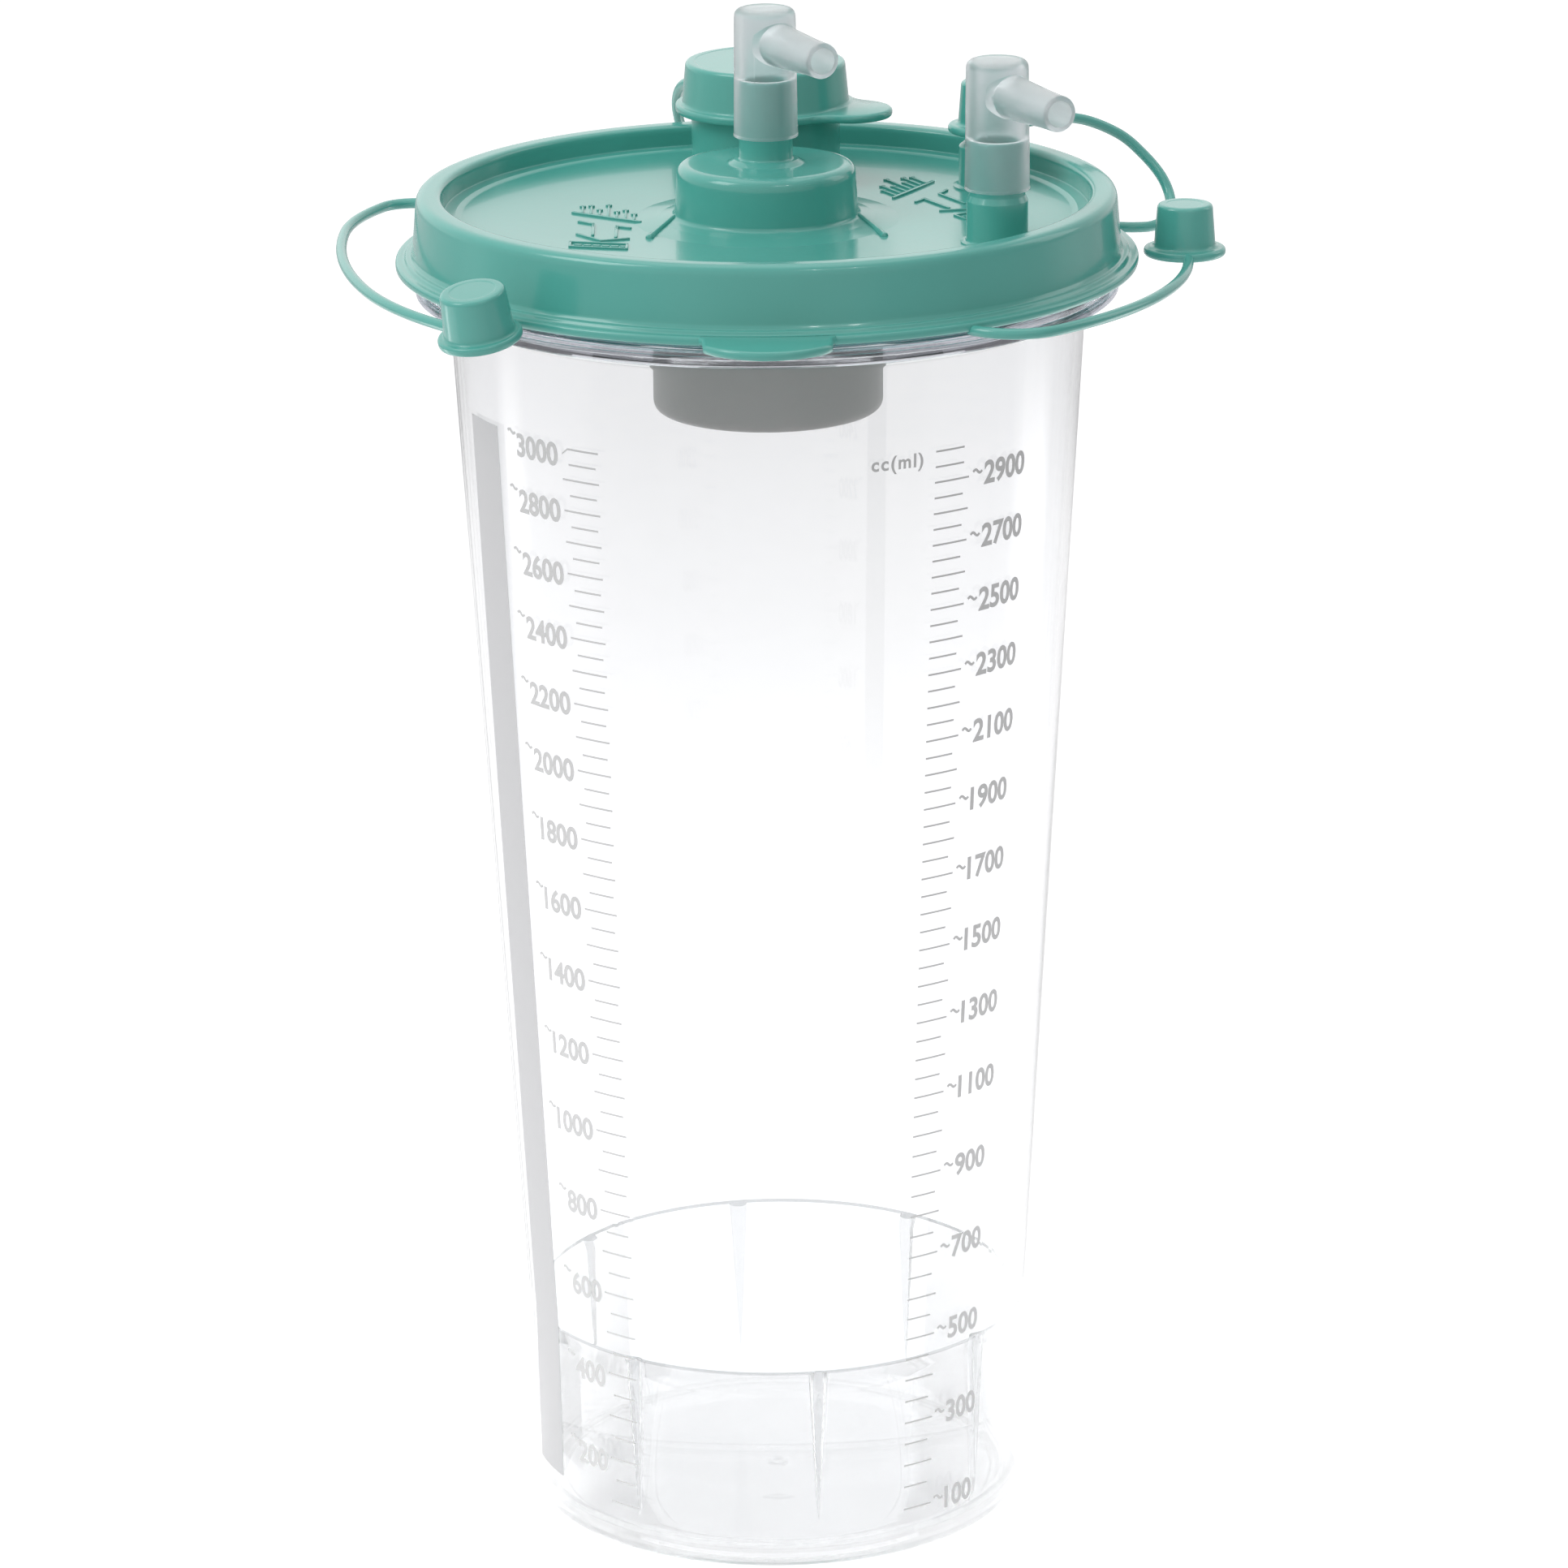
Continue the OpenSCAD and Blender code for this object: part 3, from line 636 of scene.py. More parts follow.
def apply_boolean(obj: bpy.types.Object, other: bpy.types.Object, operation: str) -> None:
    """Cuts or joins another solid, applies the result and deletes the other.

    Args:
        obj: The object to change.
        other: The solid to cut away or to join.
        operation: Blender's name of the operation.
    """
    modifier = obj.modifiers.new("cut", "BOOLEAN")
    modifier.operation = operation
    modifier.solver = "EXACT"
    modifier.object = other
    apply_modifiers(obj)
    old = other.data
    bpy.data.objects.remove(other)
    bpy.data.meshes.remove(old)


def apply_modifiers(obj: bpy.types.Object) -> None:
    """Puts the mesh that the modifiers make in place of the object's own."""
    bpy.context.view_layer.update()
    graph = bpy.context.evaluated_depsgraph_get()
    mesh = bpy.data.meshes.new_from_object(obj.evaluated_get(graph))
    obj.modifiers.clear()
    old = obj.data
    obj.data = mesh
    bpy.data.meshes.remove(old)


def join(obj: bpy.types.Object, others: Sequence[bpy.types.Object]) -> bpy.types.Object:
    """Joins other objects' meshes into one object, in place.

    Args:
        obj: The object that stays.
        others: The objects that are joined to it.

    Returns:
        The joined object.
    """
    work = bmesh.new()
    work.from_mesh(obj.data)
    for other in others:
        work.from_mesh(other.data)
        old = other.data
        bpy.data.objects.remove(other)
        bpy.data.meshes.remove(old)
    work.to_mesh(obj.data)
    work.free()
    obj.data.polygons.foreach_set("use_smooth", [True] * len(obj.data.polygons))
    obj.data.set_sharp_from_angle(angle=math.radians(38.0))
    return obj


def dress(obj: bpy.types.Object, material: bpy.types.Material, body: Body | None) -> bpy.types.Object:
    """Gives a piece its material and its body.

    Args:
        obj: The piece.
        material: Its material.
        body: The body that it rides on, or None to leave it on none.

    Returns:
        The piece.
    """
    obj.data.materials.clear()
    obj.data.materials.append(material)
    if body is not None:
        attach(obj, body.value)
    log.info("%s: %d faces", obj.name, len(obj.data.polygons))
    return obj


# The canister


@dataclass
class Wall:
    """Sizes of the canister's wall, in millimetres."""

    base_r: float = 56.4
    step_z: float = 47.7
    step_r: float = 57.5
    top_z: float = 283.2
    top_r: float = 70.9
    wall_t: float = 2.0
    foot_h: float = 0.8
    floor_t: float = 2.2
    step_in: float = 0.8

    @property
    def floor_z(self) -> float:
        """Height of the floor's upper face."""
        return self.foot_h + self.floor_t

    def outer(self, z: float) -> float:
        """Returns the outer radius at a height."""
        if z < self.step_z:
            return self.base_r + (self.step_r - self.base_r) * z / self.step_z
        return self.step_r + (self.top_r - self.step_r) * (z - self.step_z) / (self.top_z - self.step_z)

    def inner(self, z: float) -> float:
        """Returns the inner radius at a height."""
        return self.outer(z) - self.wall_t - (self.step_in if z < self.step_z - self.step_in else 0.0)

    def level(self, millilitres: float, full: float = 3000.0, full_z: float = 261.8) -> float:
        """Returns the height of a volume, counted down from the full mark through the inside of the wall.

        Args:
            millilitres: The volume.
            full: The volume at the full mark.
            full_z: The height of the full mark.

        Returns:
            The height in millimetres.
        """
        z, left, slice_h = full_z, full, 0.05
        while left > millilitres and z > self.floor_z:
            left -= math.pi * self.inner(z) ** 2 * slice_h / 1000
            z -= slice_h
        return z


@dataclass
class Canister:
    """The clear canister with its foot, stacking line, stacking ribs and beaded rim."""

    finishes: Finishes
    wall: Wall = field(default_factory=Wall)
    rib_count: int = 8
    rib_start: float = 9.5
    rib_top_r: float = 2.2
    rib_tip_r: float = 0.12
    rib_foot_z: float = 11.0
    rib_columns: int = 13
    plain_columns: int = 18
    bead_r: float = 78.2
    bead_h: float = 1.5
    bead_gap: float = 0.45
    bead_lean: float = 0.4
    lip_r: float = 75.4
    lip_t: float = 1.8
    lip_z: float = 303.6
    throat_z: float = 286.95

    def outline(self) -> tuple[list[Point2], int, int]:
        """Returns the outline, and the first and last numbers of its points along the ribs."""
        w = self.wall
        foot_r, ring_z = w.base_r - 2.4, w.top_z + w.wall_t
        corners: list[Corner] = [(0, w.foot_h, 0), (foot_r - 4.3, w.foot_h, 0.3), (foot_r - 3.4, 0, 0.4)]
        corners += [(foot_r + 1.9, 0, 1.6), (w.base_r, 3.4, 2.2), (w.step_r, w.step_z, 0.5), (w.top_r, w.top_z, 1.2)]
        step = self.bead_h + self.bead_gap
        for k in range(3):
            r, z = self.bead_r - k * self.bead_lean, ring_z + k * step
            corners += [(self.lip_r + 1.2, z - (0.0 if k else 0.6), 0.1), (r, z, 0.45), (r, z + self.bead_h, 0.45)]
        seat_z = ring_z + 3 * step - self.bead_gap
        corners += [(self.lip_r, seat_z, 0.3), (self.lip_r, self.lip_z, 0.5), (self.lip_r - self.lip_t, self.lip_z, 0.5)]
        corners += [(self.lip_r - self.lip_t, self.throat_z, 0.4)]
        corners += [(w.top_r + w.wall_t / 4, self.throat_z - w.wall_t / 3, 0.6), (w.top_r - w.wall_t, w.top_z, 1.5)]
        top = w.step_z - w.step_in
        ledge = w.inner(top - 0.01)
        out = braced([*rounded(corners), (w.step_r - w.wall_t, w.step_z), (ledge, top)], False, 0.3)[:-1]
        first = len(out)
        rows = 14
        for k in range(rows + 1):
            z = top - (top - self.rib_foot_z) * k / rows
            out.append((w.inner(z), z))
        last = len(out) - 1
        fillet = 4.0
        inner_r = w.base_r - w.wall_t - w.step_in
        out += [(inner_r - fillet * (1 - math.cos(a)), w.floor_z + fillet * (1 - math.sin(a)))
                for a in (math.pi / 2 * k / 8 for k in range(9))]
        out += [(inner_r - fillet - 0.6, w.floor_z), (2.9, w.floor_z), (2.4, w.floor_z), (1.9, w.floor_z + 0.3)]
        out += [(1.3, w.floor_z + 0.3), (0.9, w.floor_z + 0.1), (0, w.floor_z + 0.1)]
        return out, first, last

    def shell(self) -> bpy.types.Object:
        """Builds the canister's one closed mesh, ribs and all."""
        outline, first, last = self.outline()
        verts: list[Vector] = []
        rows: list[list[int]] = []
        pitch = 360 / self.rib_count
        turns = [math.sin(math.pi * (j / (self.rib_columns - 1) - 0.5)) for j in range(self.rib_columns)]
        count = self.rib_count * (self.rib_columns + self.plain_columns)
        for i, (r, z) in enumerate(outline):
            if r < 1e-6:
                verts.append(Vector((0, 0, z * MM)))
                rows.append([len(verts) - 1] * count)
                continue
            rib = first <= i <= last
            share = max(0.0, min(1.0, (z - self.rib_foot_z) / (self.wall.step_z - self.rib_foot_z)))
            half = self.rib_tip_r + (self.rib_top_r - self.rib_tip_r) * (share if rib else 1.0)
            width = math.degrees(half / (r if rib else self.wall.step_r))
            rows.append(list(range(len(verts), len(verts) + count)))
            for k in range(self.rib_count):
                centre = self.rib_start + k * pitch
                for t in turns:
                    depth = half * math.sqrt(max(0.0, 1 - t * t)) if rib else 0.0
                    verts.append(polar(centre + t * width, r - depth, z))
                for j in range(1, self.plain_columns + 1):
                    gap = pitch - 2 * width
                    verts.append(polar(centre + width + gap * j / (self.plain_columns + 1), r, z))
        faces = []
        for i in range(len(rows) - 1):
            low, high = rows[i], rows[i + 1]
            for k in range(count):
                j = (k + 1) % count
                loop = list(dict.fromkeys((low[k], low[j], high[j], high[k])))
                if len(loop) > 2:
                    faces.append(loop)
        return new_object("canister_shell", verts, faces, sharp=50.0)

    def on_rib(self, centre: Vector, r: float) -> bool:
        """Tells whether a face centre at radius r lies on the inside of a rib."""
        share = (centre.z / MM - self.rib_foot_z) / (self.wall.step_z - self.rib_foot_z)
        half = self.rib_tip_r + (self.rib_top_r - self.rib_tip_r) * share
        pitch = 360 / self.rib_count
        turn = math.degrees(math.atan2(centre.x, -centre.y)) - self.rib_start
        off = abs((turn + pitch / 2) % pitch - pitch / 2)
        return off < math.degrees(half / r) and r < self.wall.outer(centre.z / MM) - self.wall.wall_t / 2

    def build(self) -> None:
        """Builds the shell, with finishes of their own on the rim, the base, the ribs and the ledge over them: the same
        clear plastic tinted darker there, a painted shade that draws those parts darker.
        """
        w = self.wall
        shell = dress(self.shell(), self.finishes.get("clear"), Body.CANISTER)
        for name in ("rim", "base", "ledge", "rib"):
            shell.data.materials.append(self.finishes.get(name))
        # Painted shade: faces of the rim, the ledge, the ribs and the base get darker tints of the same clear plastic.
        for face in shell.data.polygons:
            z, r = face.center.z / MM, face.center.xy.length / MM
            if z > w.top_z + w.wall_t / 2:
                face.material_index = 1
            elif w.step_z - w.step_in - 0.01 < z < w.step_z + 0.01 and r < w.step_r - w.wall_t / 2:
                face.material_index = 3
            elif self.rib_foot_z < z < w.step_z and self.on_rib(face.center, r):
                face.material_index = 4
            elif z < w.step_z:
                face.material_index = 2
        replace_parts(shell, "canister")


@dataclass
class PrintedScale:
    """The scale printed on the canister's wall: ticks, numerals and a plain strip."""

    finishes: Finishes
    wall: Wall = field(default_factory=Wall)
    lift: float = 0.05
    film: float = 0.04
    line_w: float = 0.42
    full: int = 3000
    step: int = 50
    sag: float = 1.4
    sag_at: int = 600
    sag_reach: int = 450
    low_ml: int = 400
    low_drop: float = 1.0

    def mark_z(self, ml: int) -> float:
        """Returns the height of a printed line, which sits a little low round the step of the wall."""
        return self.wall.level(ml) - self.sag * max(0.0, 1 - abs(ml - self.sag_at) / self.sag_reach)

    def shift(self, column: Column, z: float) -> float:
        """Returns how far a column leans to the left towards the base, in degrees."""
        return (1.9 if column is Column.LEFT else 0.9) * (261.8 - z) / 220

    def patch(self, azimuths: tuple[float, float], low: Callable[[float], float], high: Callable[[float], float],
              across: int, up: int) -> tuple[list[Vector], list[tuple[int, ...]]]:
        """Makes a thin closed film that lies on the wall.

        Args:
            azimuths: First and last angle from the front, in degrees.
            low: Height of the lower edge at an angle.
            high: Height of the upper edge at an angle.
            across: Steps round the wall.
            up: Steps up the wall.

        Returns:
            The points and faces of the film.
        """
        verts, faces = [], []
        for layer in (self.lift, self.lift + self.film):
            for j in range(up + 1):
                for i in range(across + 1):
                    az = azimuths[0] + (azimuths[1] - azimuths[0]) * i / across
                    z = low(az) + (high(az) - low(az)) * j / up
                    verts.append(polar(az, self.wall.outer(z) + layer, z))
        row = across + 1
        size = row * (up + 1)
        for j in range(up):
            for i in range(across):
                a = j * row + i
                quad = (a, a + 1, a + row + 1, a + row)
                faces += [quad, tuple(size + v for v in reversed(quad))]
        edge = [*range(row), *(row * j + across for j in range(1, up + 1)),
                *(row * up + i for i in range(across - 1, -1, -1)), *(row * j for j in range(up - 1, 0, -1))]
        faces += [(a, b, size + b, size + a) for a, b in zip(edge, edge[1:] + edge[:1])]
        return verts, faces

    def gather(self, name: str, parts: Sequence[tuple[list[Vector], list[tuple[int, ...]]]]) -> bpy.types.Object:
        """Joins films into one object."""
        verts, faces = [], []
        for part_verts, part_faces in parts:
            faces += [tuple(len(verts) + v for v in f) for f in part_faces]
            verts += part_verts
        return new_object(name, verts, faces, sharp=30.0)

    def ticks(self) -> bpy.types.Object:
        """Builds every line of both columns, with the leader of the full mark."""
        parts = []
        half = self.line_w / 2
        for ml in range(100, self.full + 1, self.step):
            z = self.mark_z(ml)
            for column in Column:
                long = ml % 100 == 0 and not (column is Column.RIGHT and ml == self.full)
                if column is Column.LEFT:
                    ends = (-40.0, -31.9) if long else (-38.5, -32.5)
                    ends = (-38.6, -31.9) if ml == self.full else ends
                else:
                    ends = (31.05, 38.6) if long else (31.1, 37.3)
                lean = self.shift(column, z)
                span = (ends[0] - lean, ends[1] - lean)
                parts.append(self.patch(span, lambda az, z=z: z - half, lambda az, z=z: z + half, 8, 1))
        z = self.wall.level(self.full)
        parts.append(self.patch((-39.9, -38.6), lambda az: z - half - 1.2 * (-38.6 - az) / 1.3,
                                lambda az: z + half - 1.2 * (-38.6 - az) / 1.3, 3, 1))
        return self.gather("scale_lines", parts)

    def words(self, body: str, size: float, squeeze: float, offset: float, space: float = 1.0) -> bpy.types.Mesh:
        """Makes the flat mesh of a few figures.

        Args:
            body: The figures.
            size: Size of the figures in millimetres.
            squeeze: Width as a share of the plain width.
            offset: How far the strokes are thickened, in millimetres.
            space: Space between the figures as a share of the plain space.

        Returns:
            A mesh in millimetres that starts at zero.
        """
        curve = bpy.data.curves.new("figures", "FONT")
        curve.body = body
        curve.size = size
        curve.offset = offset
        curve.space_character = space
        curve.extrude = self.film / 2
        curve.resolution_u = 4
        obj = bpy.data.objects.new("figures", curve)
        bpy.context.scene.collection.objects.link(obj)
        bpy.context.view_layer.update()
        mesh = bpy.data.meshes.new_from_object(obj.evaluated_get(bpy.context.evaluated_depsgraph_get()))
        bpy.data.objects.remove(obj)
        bpy.data.curves.remove(curve)
        left = min(v.co.x for v in mesh.vertices)
        for v in mesh.vertices:
            v.co.x = (v.co.x - left) * squeeze
        return mesh

    def tilde(self, length: float = 2.6, swing: float = 0.42, half: float = 0.3) -> bpy.types.Mesh:
        """Makes the flat mesh of a small wave sign that starts at zero."""
        steps = 14
        upper, lower = [], []
        for i in range(steps + 1):
            t = i / steps
            x, y = length * t, swing * math.sin(2 * math.pi * t)
            slope = swing * 2 * math.pi / length * math.cos(2 * math.pi * t)
            run = math.hypot(1.0, slope)
            upper.append((x - half * slope / run, y + half / run))
            lower.append((x + half * slope / run, y - half / run))
        rows = [[(x, y, z) for x, y in edge] for z in (-self.film / 2, self.film / 2) for edge in (upper, lower)]
        count = steps + 1
        faces = []
        for i in range(steps):
            for a, b in ((0, 1), (3, 2), (1, 3), (2, 0)):
                faces.append((a * count + i, b * count + i, b * count + i + 1, a * count + i + 1))
        for i in (0, steps):
            faces.append(tuple(a * count + i for a in (0, 1, 3, 2)))
        mesh = bpy.data.meshes.new("tilde")
        mesh.from_pydata([v for row in rows for v in row], [], faces)
        left = min(v.co.x for v in mesh.vertices)
        for v in mesh.vertices:
            v.co.x -= left
        return mesh

    def wrap(self, mesh: bpy.types.Mesh, azimuth: float, z: float, end: bool
             ) -> tuple[list[Vector], list[tuple[int, ...]]]:
        """Lays flat figures on the wall.

        Args:
            mesh: The flat mesh in millimetres.
            azimuth: Angle of the figures' left end, or of their right end.
            z: Height of their foot.
            end: Whether the angle is that of the right end.

        Returns:
            The points and faces on the wall.
        """
        width = max(v.co.x for v in mesh.vertices)
        verts = []
        for v in mesh.vertices:
            height = z + v.co.y
            r = self.wall.outer(height)
            along = v.co.x - (width if end else 0.0)
            verts.append(polar(azimuth + math.degrees(along / r), r + self.lift + self.film / 2 + v.co.z, height))
        faces = [tuple(p.vertices) for p in mesh.polygons]
        bpy.data.meshes.remove(mesh)
        return verts, faces

    def numerals(self) -> bpy.types.Object:
        """Builds the numerals of both columns and the unit."""
        parts = []
        size, squeeze, bold = 7.2, 0.94, 0.2
        for ml in range(100, self.full + 1, 100):
            column = Column.LEFT if ml % 200 == 0 else Column.RIGHT
            z = self.mark_z(ml)
            foot = z - (2.9 if column is Column.LEFT else 1.8) - (1.3 if ml == self.full else 0.0)
            foot -= self.low_drop if ml <= self.low_ml and column is Column.LEFT else 0.0
            lean = self.shift(column, z)
            digits = self.words(str(ml), size, squeeze, bold)
            wide = math.degrees(max(v.co.x for v in digits.vertices) / self.wall.outer(z))
            if column is Column.LEFT:
                right = -41.0 - lean
                parts.append(self.wrap(digits, right, foot, True))
                parts.append(self.wrap(self.tilde(), right - wide - 0.25, foot + 5.1, True))
            else:
                left = 39.4 - lean
                sign = self.tilde()
                gap = math.degrees(max(v.co.x for v in sign.vertices) / self.wall.outer(z))
                parts.append(self.wrap(sign, left, foot + 2.6, False))
                parts.append(self.wrap(digits, left + gap + 0.4, foot - 0.6, False))
        parts.append(self.wrap(self.words("cc(ml)", 4.3, 0.98, 0.1, 1.18), 18.4, 259.1, False))
        return self.gather("scale_numerals", parts)

    def strip(self) -> bpy.types.Object:
        """Builds the plain strip beside the left column."""
        low_z, high_z = 11.0, 262.6
        verts, faces = self.patch((0.0, 1.0), lambda az: low_z, lambda az: high_z, 16, 60)
        moved = []
        for v in verts:
            z = v.z / MM
            t = (high_z - z) / (high_z - low_z)
            share = math.degrees(math.atan2(v.x, -v.y))
            left, right = -69.2 - 6.0 * t, -58.2 - 2.6 * t
            moved.append(polar(left + (right - left) * share, Vector((v.x, v.y)).length / MM, z))
        return new_object("scale_strip", moved, faces, sharp=30.0)

    def build(self) -> None:
        """Builds the print."""
        for obj in (self.ticks(), self.numerals()):
            dress(obj, self.finishes.get("left_ink"), Body.CANISTER)
            # The right column gets its own ink, with a painted shade of its own.
            obj.data.materials.append(self.finishes.get("right_ink"))
            for face in obj.data.polygons:
                face.material_index = int(face.center.x > 0)
        dress(self.strip(), self.finishes.get("strip"), Body.CANISTER)


# The lid


@dataclass
class Lid:
    """The lid: skirt and plate, finger tab, hub with its spout, wings and ports."""

    finishes: Finishes
    flange_z: float = 290.65
    flange_r: float = 82.5
    flange_t: float = 2.0
    rim_z: float = 307.05
    rim_r: float = 77.6
    lip_r: float = 75.4
    lid_t: float = 1.8
    plug_r: float = 73.55
    plug_foot_z: float = 287.25
    plate_z: float = 300.25
    plate_r: float = 68.0
    dish: float = 1.5
    ledge_z: float = 302.25
    hub_r: float = 20.4
    hub_z: float = 312.95
    flare_r: float = 30.0
    flare_h: float = 1.2
    spout_r: float = 5.95
    spout_z: float = 331.55
    bore_r: float = 4.45
    large: Corner = (0.0, 44.0, 16.9)
    large_top_z: float = 325.65
    patient: Corner = (50.2, -28.5, 6.1)
    tandem: Corner = (50.2, 29.0, 5.1)
    side_top_z: float = 323.45
    socket_r: float = 6.75
    socket_h: float = 9.0
    tab_r: float = 16.6
    tab_half_w: float = 13.6
    tab_reach: float = 13.0

    def deck(self, r: float) -> float:
        """Returns the height of the shallow dish of the plate at a radius."""
        return self.plate_z + self.dish * max(0.0, min(1.0, (r - self.hub_r) / (self.plate_r - self.hub_r))) ** 2

    def skin(self) -> bpy.types.Object:
        """Builds the flange, the skirt, the rim, the tray and the plate, open under the hub and the ports."""
        top, foot, roof = self.flange_z + self.flange_t, self.flange_z, self.plate_z - self.lid_t
        plug_in = self.plug_r - self.lid_t
        corners: list[Corner] = [(self.lip_r + 0.05, foot, 0.2), (self.flange_r, foot, 0.8), (self.flange_r, top, 0.8)]
        corners += [(80.6, top, 0.8), (80.15, top + 0.9, 0.5), (79.15, top + 0.9, 0.5), (78.7, top + 1.8, 1.2)]
        corners += [(self.rim_r, self.rim_z, 2.2), (plug_in + 0.2, self.rim_z, 1.6), (plug_in, self.ledge_z, 0.9)]
        corners += [(plug_in - 0.7, self.ledge_z, 0.2), (self.plate_r + 1.0, self.ledge_z - 0.05, 0.2)]
        corners += [(r, self.deck(r), 0) for r in (self.plate_r - 3 * k for k in range(17))]
        corners += [(19.0, self.plate_z, 0)]
        corners += [(19.0, roof, 0), (plug_in - self.lid_t, roof, 0.6), (plug_in, roof - self.lid_t, 0.8)]
        corners += [(plug_in, self.plug_foot_z, 0.5), (self.plug_r, self.plug_foot_z, 0.5)]
        corners += [(self.plug_r, 303.9, 0.4), (self.lip_r + 0.05, 303.9, 0.4), (self.lip_r + 0.05, foot, 0)]
        outline = rounded([(77.0, foot, 0), *corners[1:]], 5)
        skin = lathe("lid_skin", outline, 256, ring=True)
        for x, y, r in (self.large, self.patient, self.tandem):
            hole = r - (self.lid_t if r > 10 else 1.5)
            cutter = lathe("cutter", [(0, roof - 5), (hole, roof - 5), (hole, self.plate_z + 5), (0, self.plate_z + 5)],
                           96, Vector((x, y, 0)) * MM)
            apply_boolean(skin, cutter, "DIFFERENCE")
        tidy_mesh(skin)
        return skin

    def tab(self) -> bpy.types.Object:
        """Builds the finger tab as a level tongue of the flange."""
        centre_y = -(self.flange_r + self.tab_reach - self.tab_r)
        half = math.asin(self.tab_half_w / self.tab_r)
        front = [(self.tab_r * math.sin(a), centre_y - self.tab_r * math.cos(a))
                 for a in (-half + 2 * half * k / 28 for k in range(29))]
        root_y = -math.sqrt(self.flange_r ** 2 - self.tab_half_w ** 2)
        turn = 1.6
        outline = [(-self.tab_half_w - turn, root_y + 1.0), (-self.tab_half_w - 0.3, root_y - 0.9), *front,
                   (self.tab_half_w + 0.3, root_y - 0.9), (self.tab_half_w + turn, root_y + 1.0),
                   (self.tab_half_w, -self.rim_r), (-self.tab_half_w, -self.rim_r)]
        return prism("finger_tab", outline, self.flange_z, self.flange_z + self.flange_t, 0.7)

    def hub(self) -> bpy.types.Object:
        """Builds the hub with its flare, its collar and the vacuum spout."""
        roof = self.plate_z - self.lid_t
        top_r, z = self.hub_r - 0.7, self.hub_z
        corners: list[Corner] = [(18.4, roof, 0), (self.flare_r, roof, 0), (self.flare_r, self.plate_z - 0.15, 0.1)]
        corners += [(self.flare_r - 0.6, self.plate_z + 0.05, 0.4), (24.0, self.plate_z + 0.6, 4.0)]
        corners += [(self.hub_r, self.plate_z + self.flare_h, 1.2), (top_r, z, 2.6), (8.6, z - 0.05, 1.6)]
        corners += [(7.0, z + 0.9, 0.5), (self.spout_r, z + 1.0, 0.7), (self.spout_r, self.spout_z, 0.6)]
        corners += [(self.bore_r, self.spout_z, 0.3), (self.bore_r, self.plate_z, 0), (6.45, self.plate_z, 0)]
        corners += [(6.45, z - 2, 0.5), (top_r - 2, z - 2, 1.5), (18.4, roof, 0)]
        return lathe("hub_tower", rounded(corners[:-1], 6), 160, ring=True)

    def wing(self, side: int) -> bpy.types.Object:
        """Builds one thin curved rib from the side of the hub, with a rounded drop at its end."""
        line = ((19.6, -0.5), (20.8, -3.8), (22.2, -7.8), (23.6, -11.8), (25.0, -16.2), (25.9, -20.2))
        points = []
        for x, y in line:
            lift = self.flare_h * max(0.0, (self.flare_r - math.hypot(x, y)) / (self.flare_r - self.hub_r))
            points.append(Vector((side * x, y, self.plate_z + min(lift, self.flare_h) + 0.05)) * MM)
        return tube("hub_wing", smooth_line(points, 8), 0.5, 14, 1.0, self.drop)

    def drop(self, t: float) -> float:
        """Returns how wide a wing is at a share of its length, against its root."""
        wide = 1.0 + 1.1 * max(0.0, (t - 0.45) / 0.55) ** 1.6
        return wide * math.sqrt(max(0.02, 1 - max(0.0, (t - 0.93) / 0.07) ** 2))

    def spout(self, place: Corner, bore: float, name: str) -> bpy.types.Object:
        """Builds one side port on its thick base."""
        x, y, r = place
        z = self.deck(math.hypot(x, y))
        corners: list[Corner] = [(bore, z - self.lid_t, 0), (self.socket_r + 1.3, z - self.lid_t, 0)]
        corners += [(self.socket_r + 1.3, z + 0.02, 0), (self.socket_r, z + 0.1, 1.0)]
        corners += [(self.socket_r - 0.05, z + self.socket_h, 0.5), (r, z + self.socket_h + 1.3, 0.8)]
        corners += [(r, self.side_top_z, 0.5), (bore, self.side_top_z, 0.3), (bore, z - self.lid_t, 0)]
        return lathe(name, rounded(corners[:-1], 5), 96, Vector((x, y, 0)) * MM, ring=True)

    def tower(self) -> bpy.types.Object:
        """Builds the large port."""
        x, y, r = self.large
        z, bore = self.deck(math.hypot(x, y)), r - self.lid_t
        corners: list[Corner] = [(bore, z - self.lid_t, 0), (r + 1.4, z - self.lid_t, 0), (r + 1.4, z + 0.02, 0)]
        corners += [(r, z + 0.1, 1.1), (r, self.large_top_z, 0.6), (bore, self.large_top_z, 0.5)]
        return lathe("large_tower", rounded(corners, 5), 128, Vector((x, y, 0)) * MM, ring=True)

    def stroke(self, ends: tuple[Point2, Point2], half: float) -> bpy.types.Object:
        """Builds one raised stroke of a mark, from one point of the plate to another."""
        a, b = Vector(ends[0]), Vector(ends[1])
        along = (b - a).normalized()
        across = Vector((-along.y, along.x))
        outline = []
        for point, first in ((a, 90.0), (b, -90.0)):
            for k in range(5):
                turn = math.radians(first + 180.0 * k / 4)
                reach = along * math.cos(turn) + across * math.sin(turn)
                outline.append(tuple(point + reach * half))
        return prism("stroke", outline, self.plate_z - 0.25, self.plate_z + 0.4, 0.12)

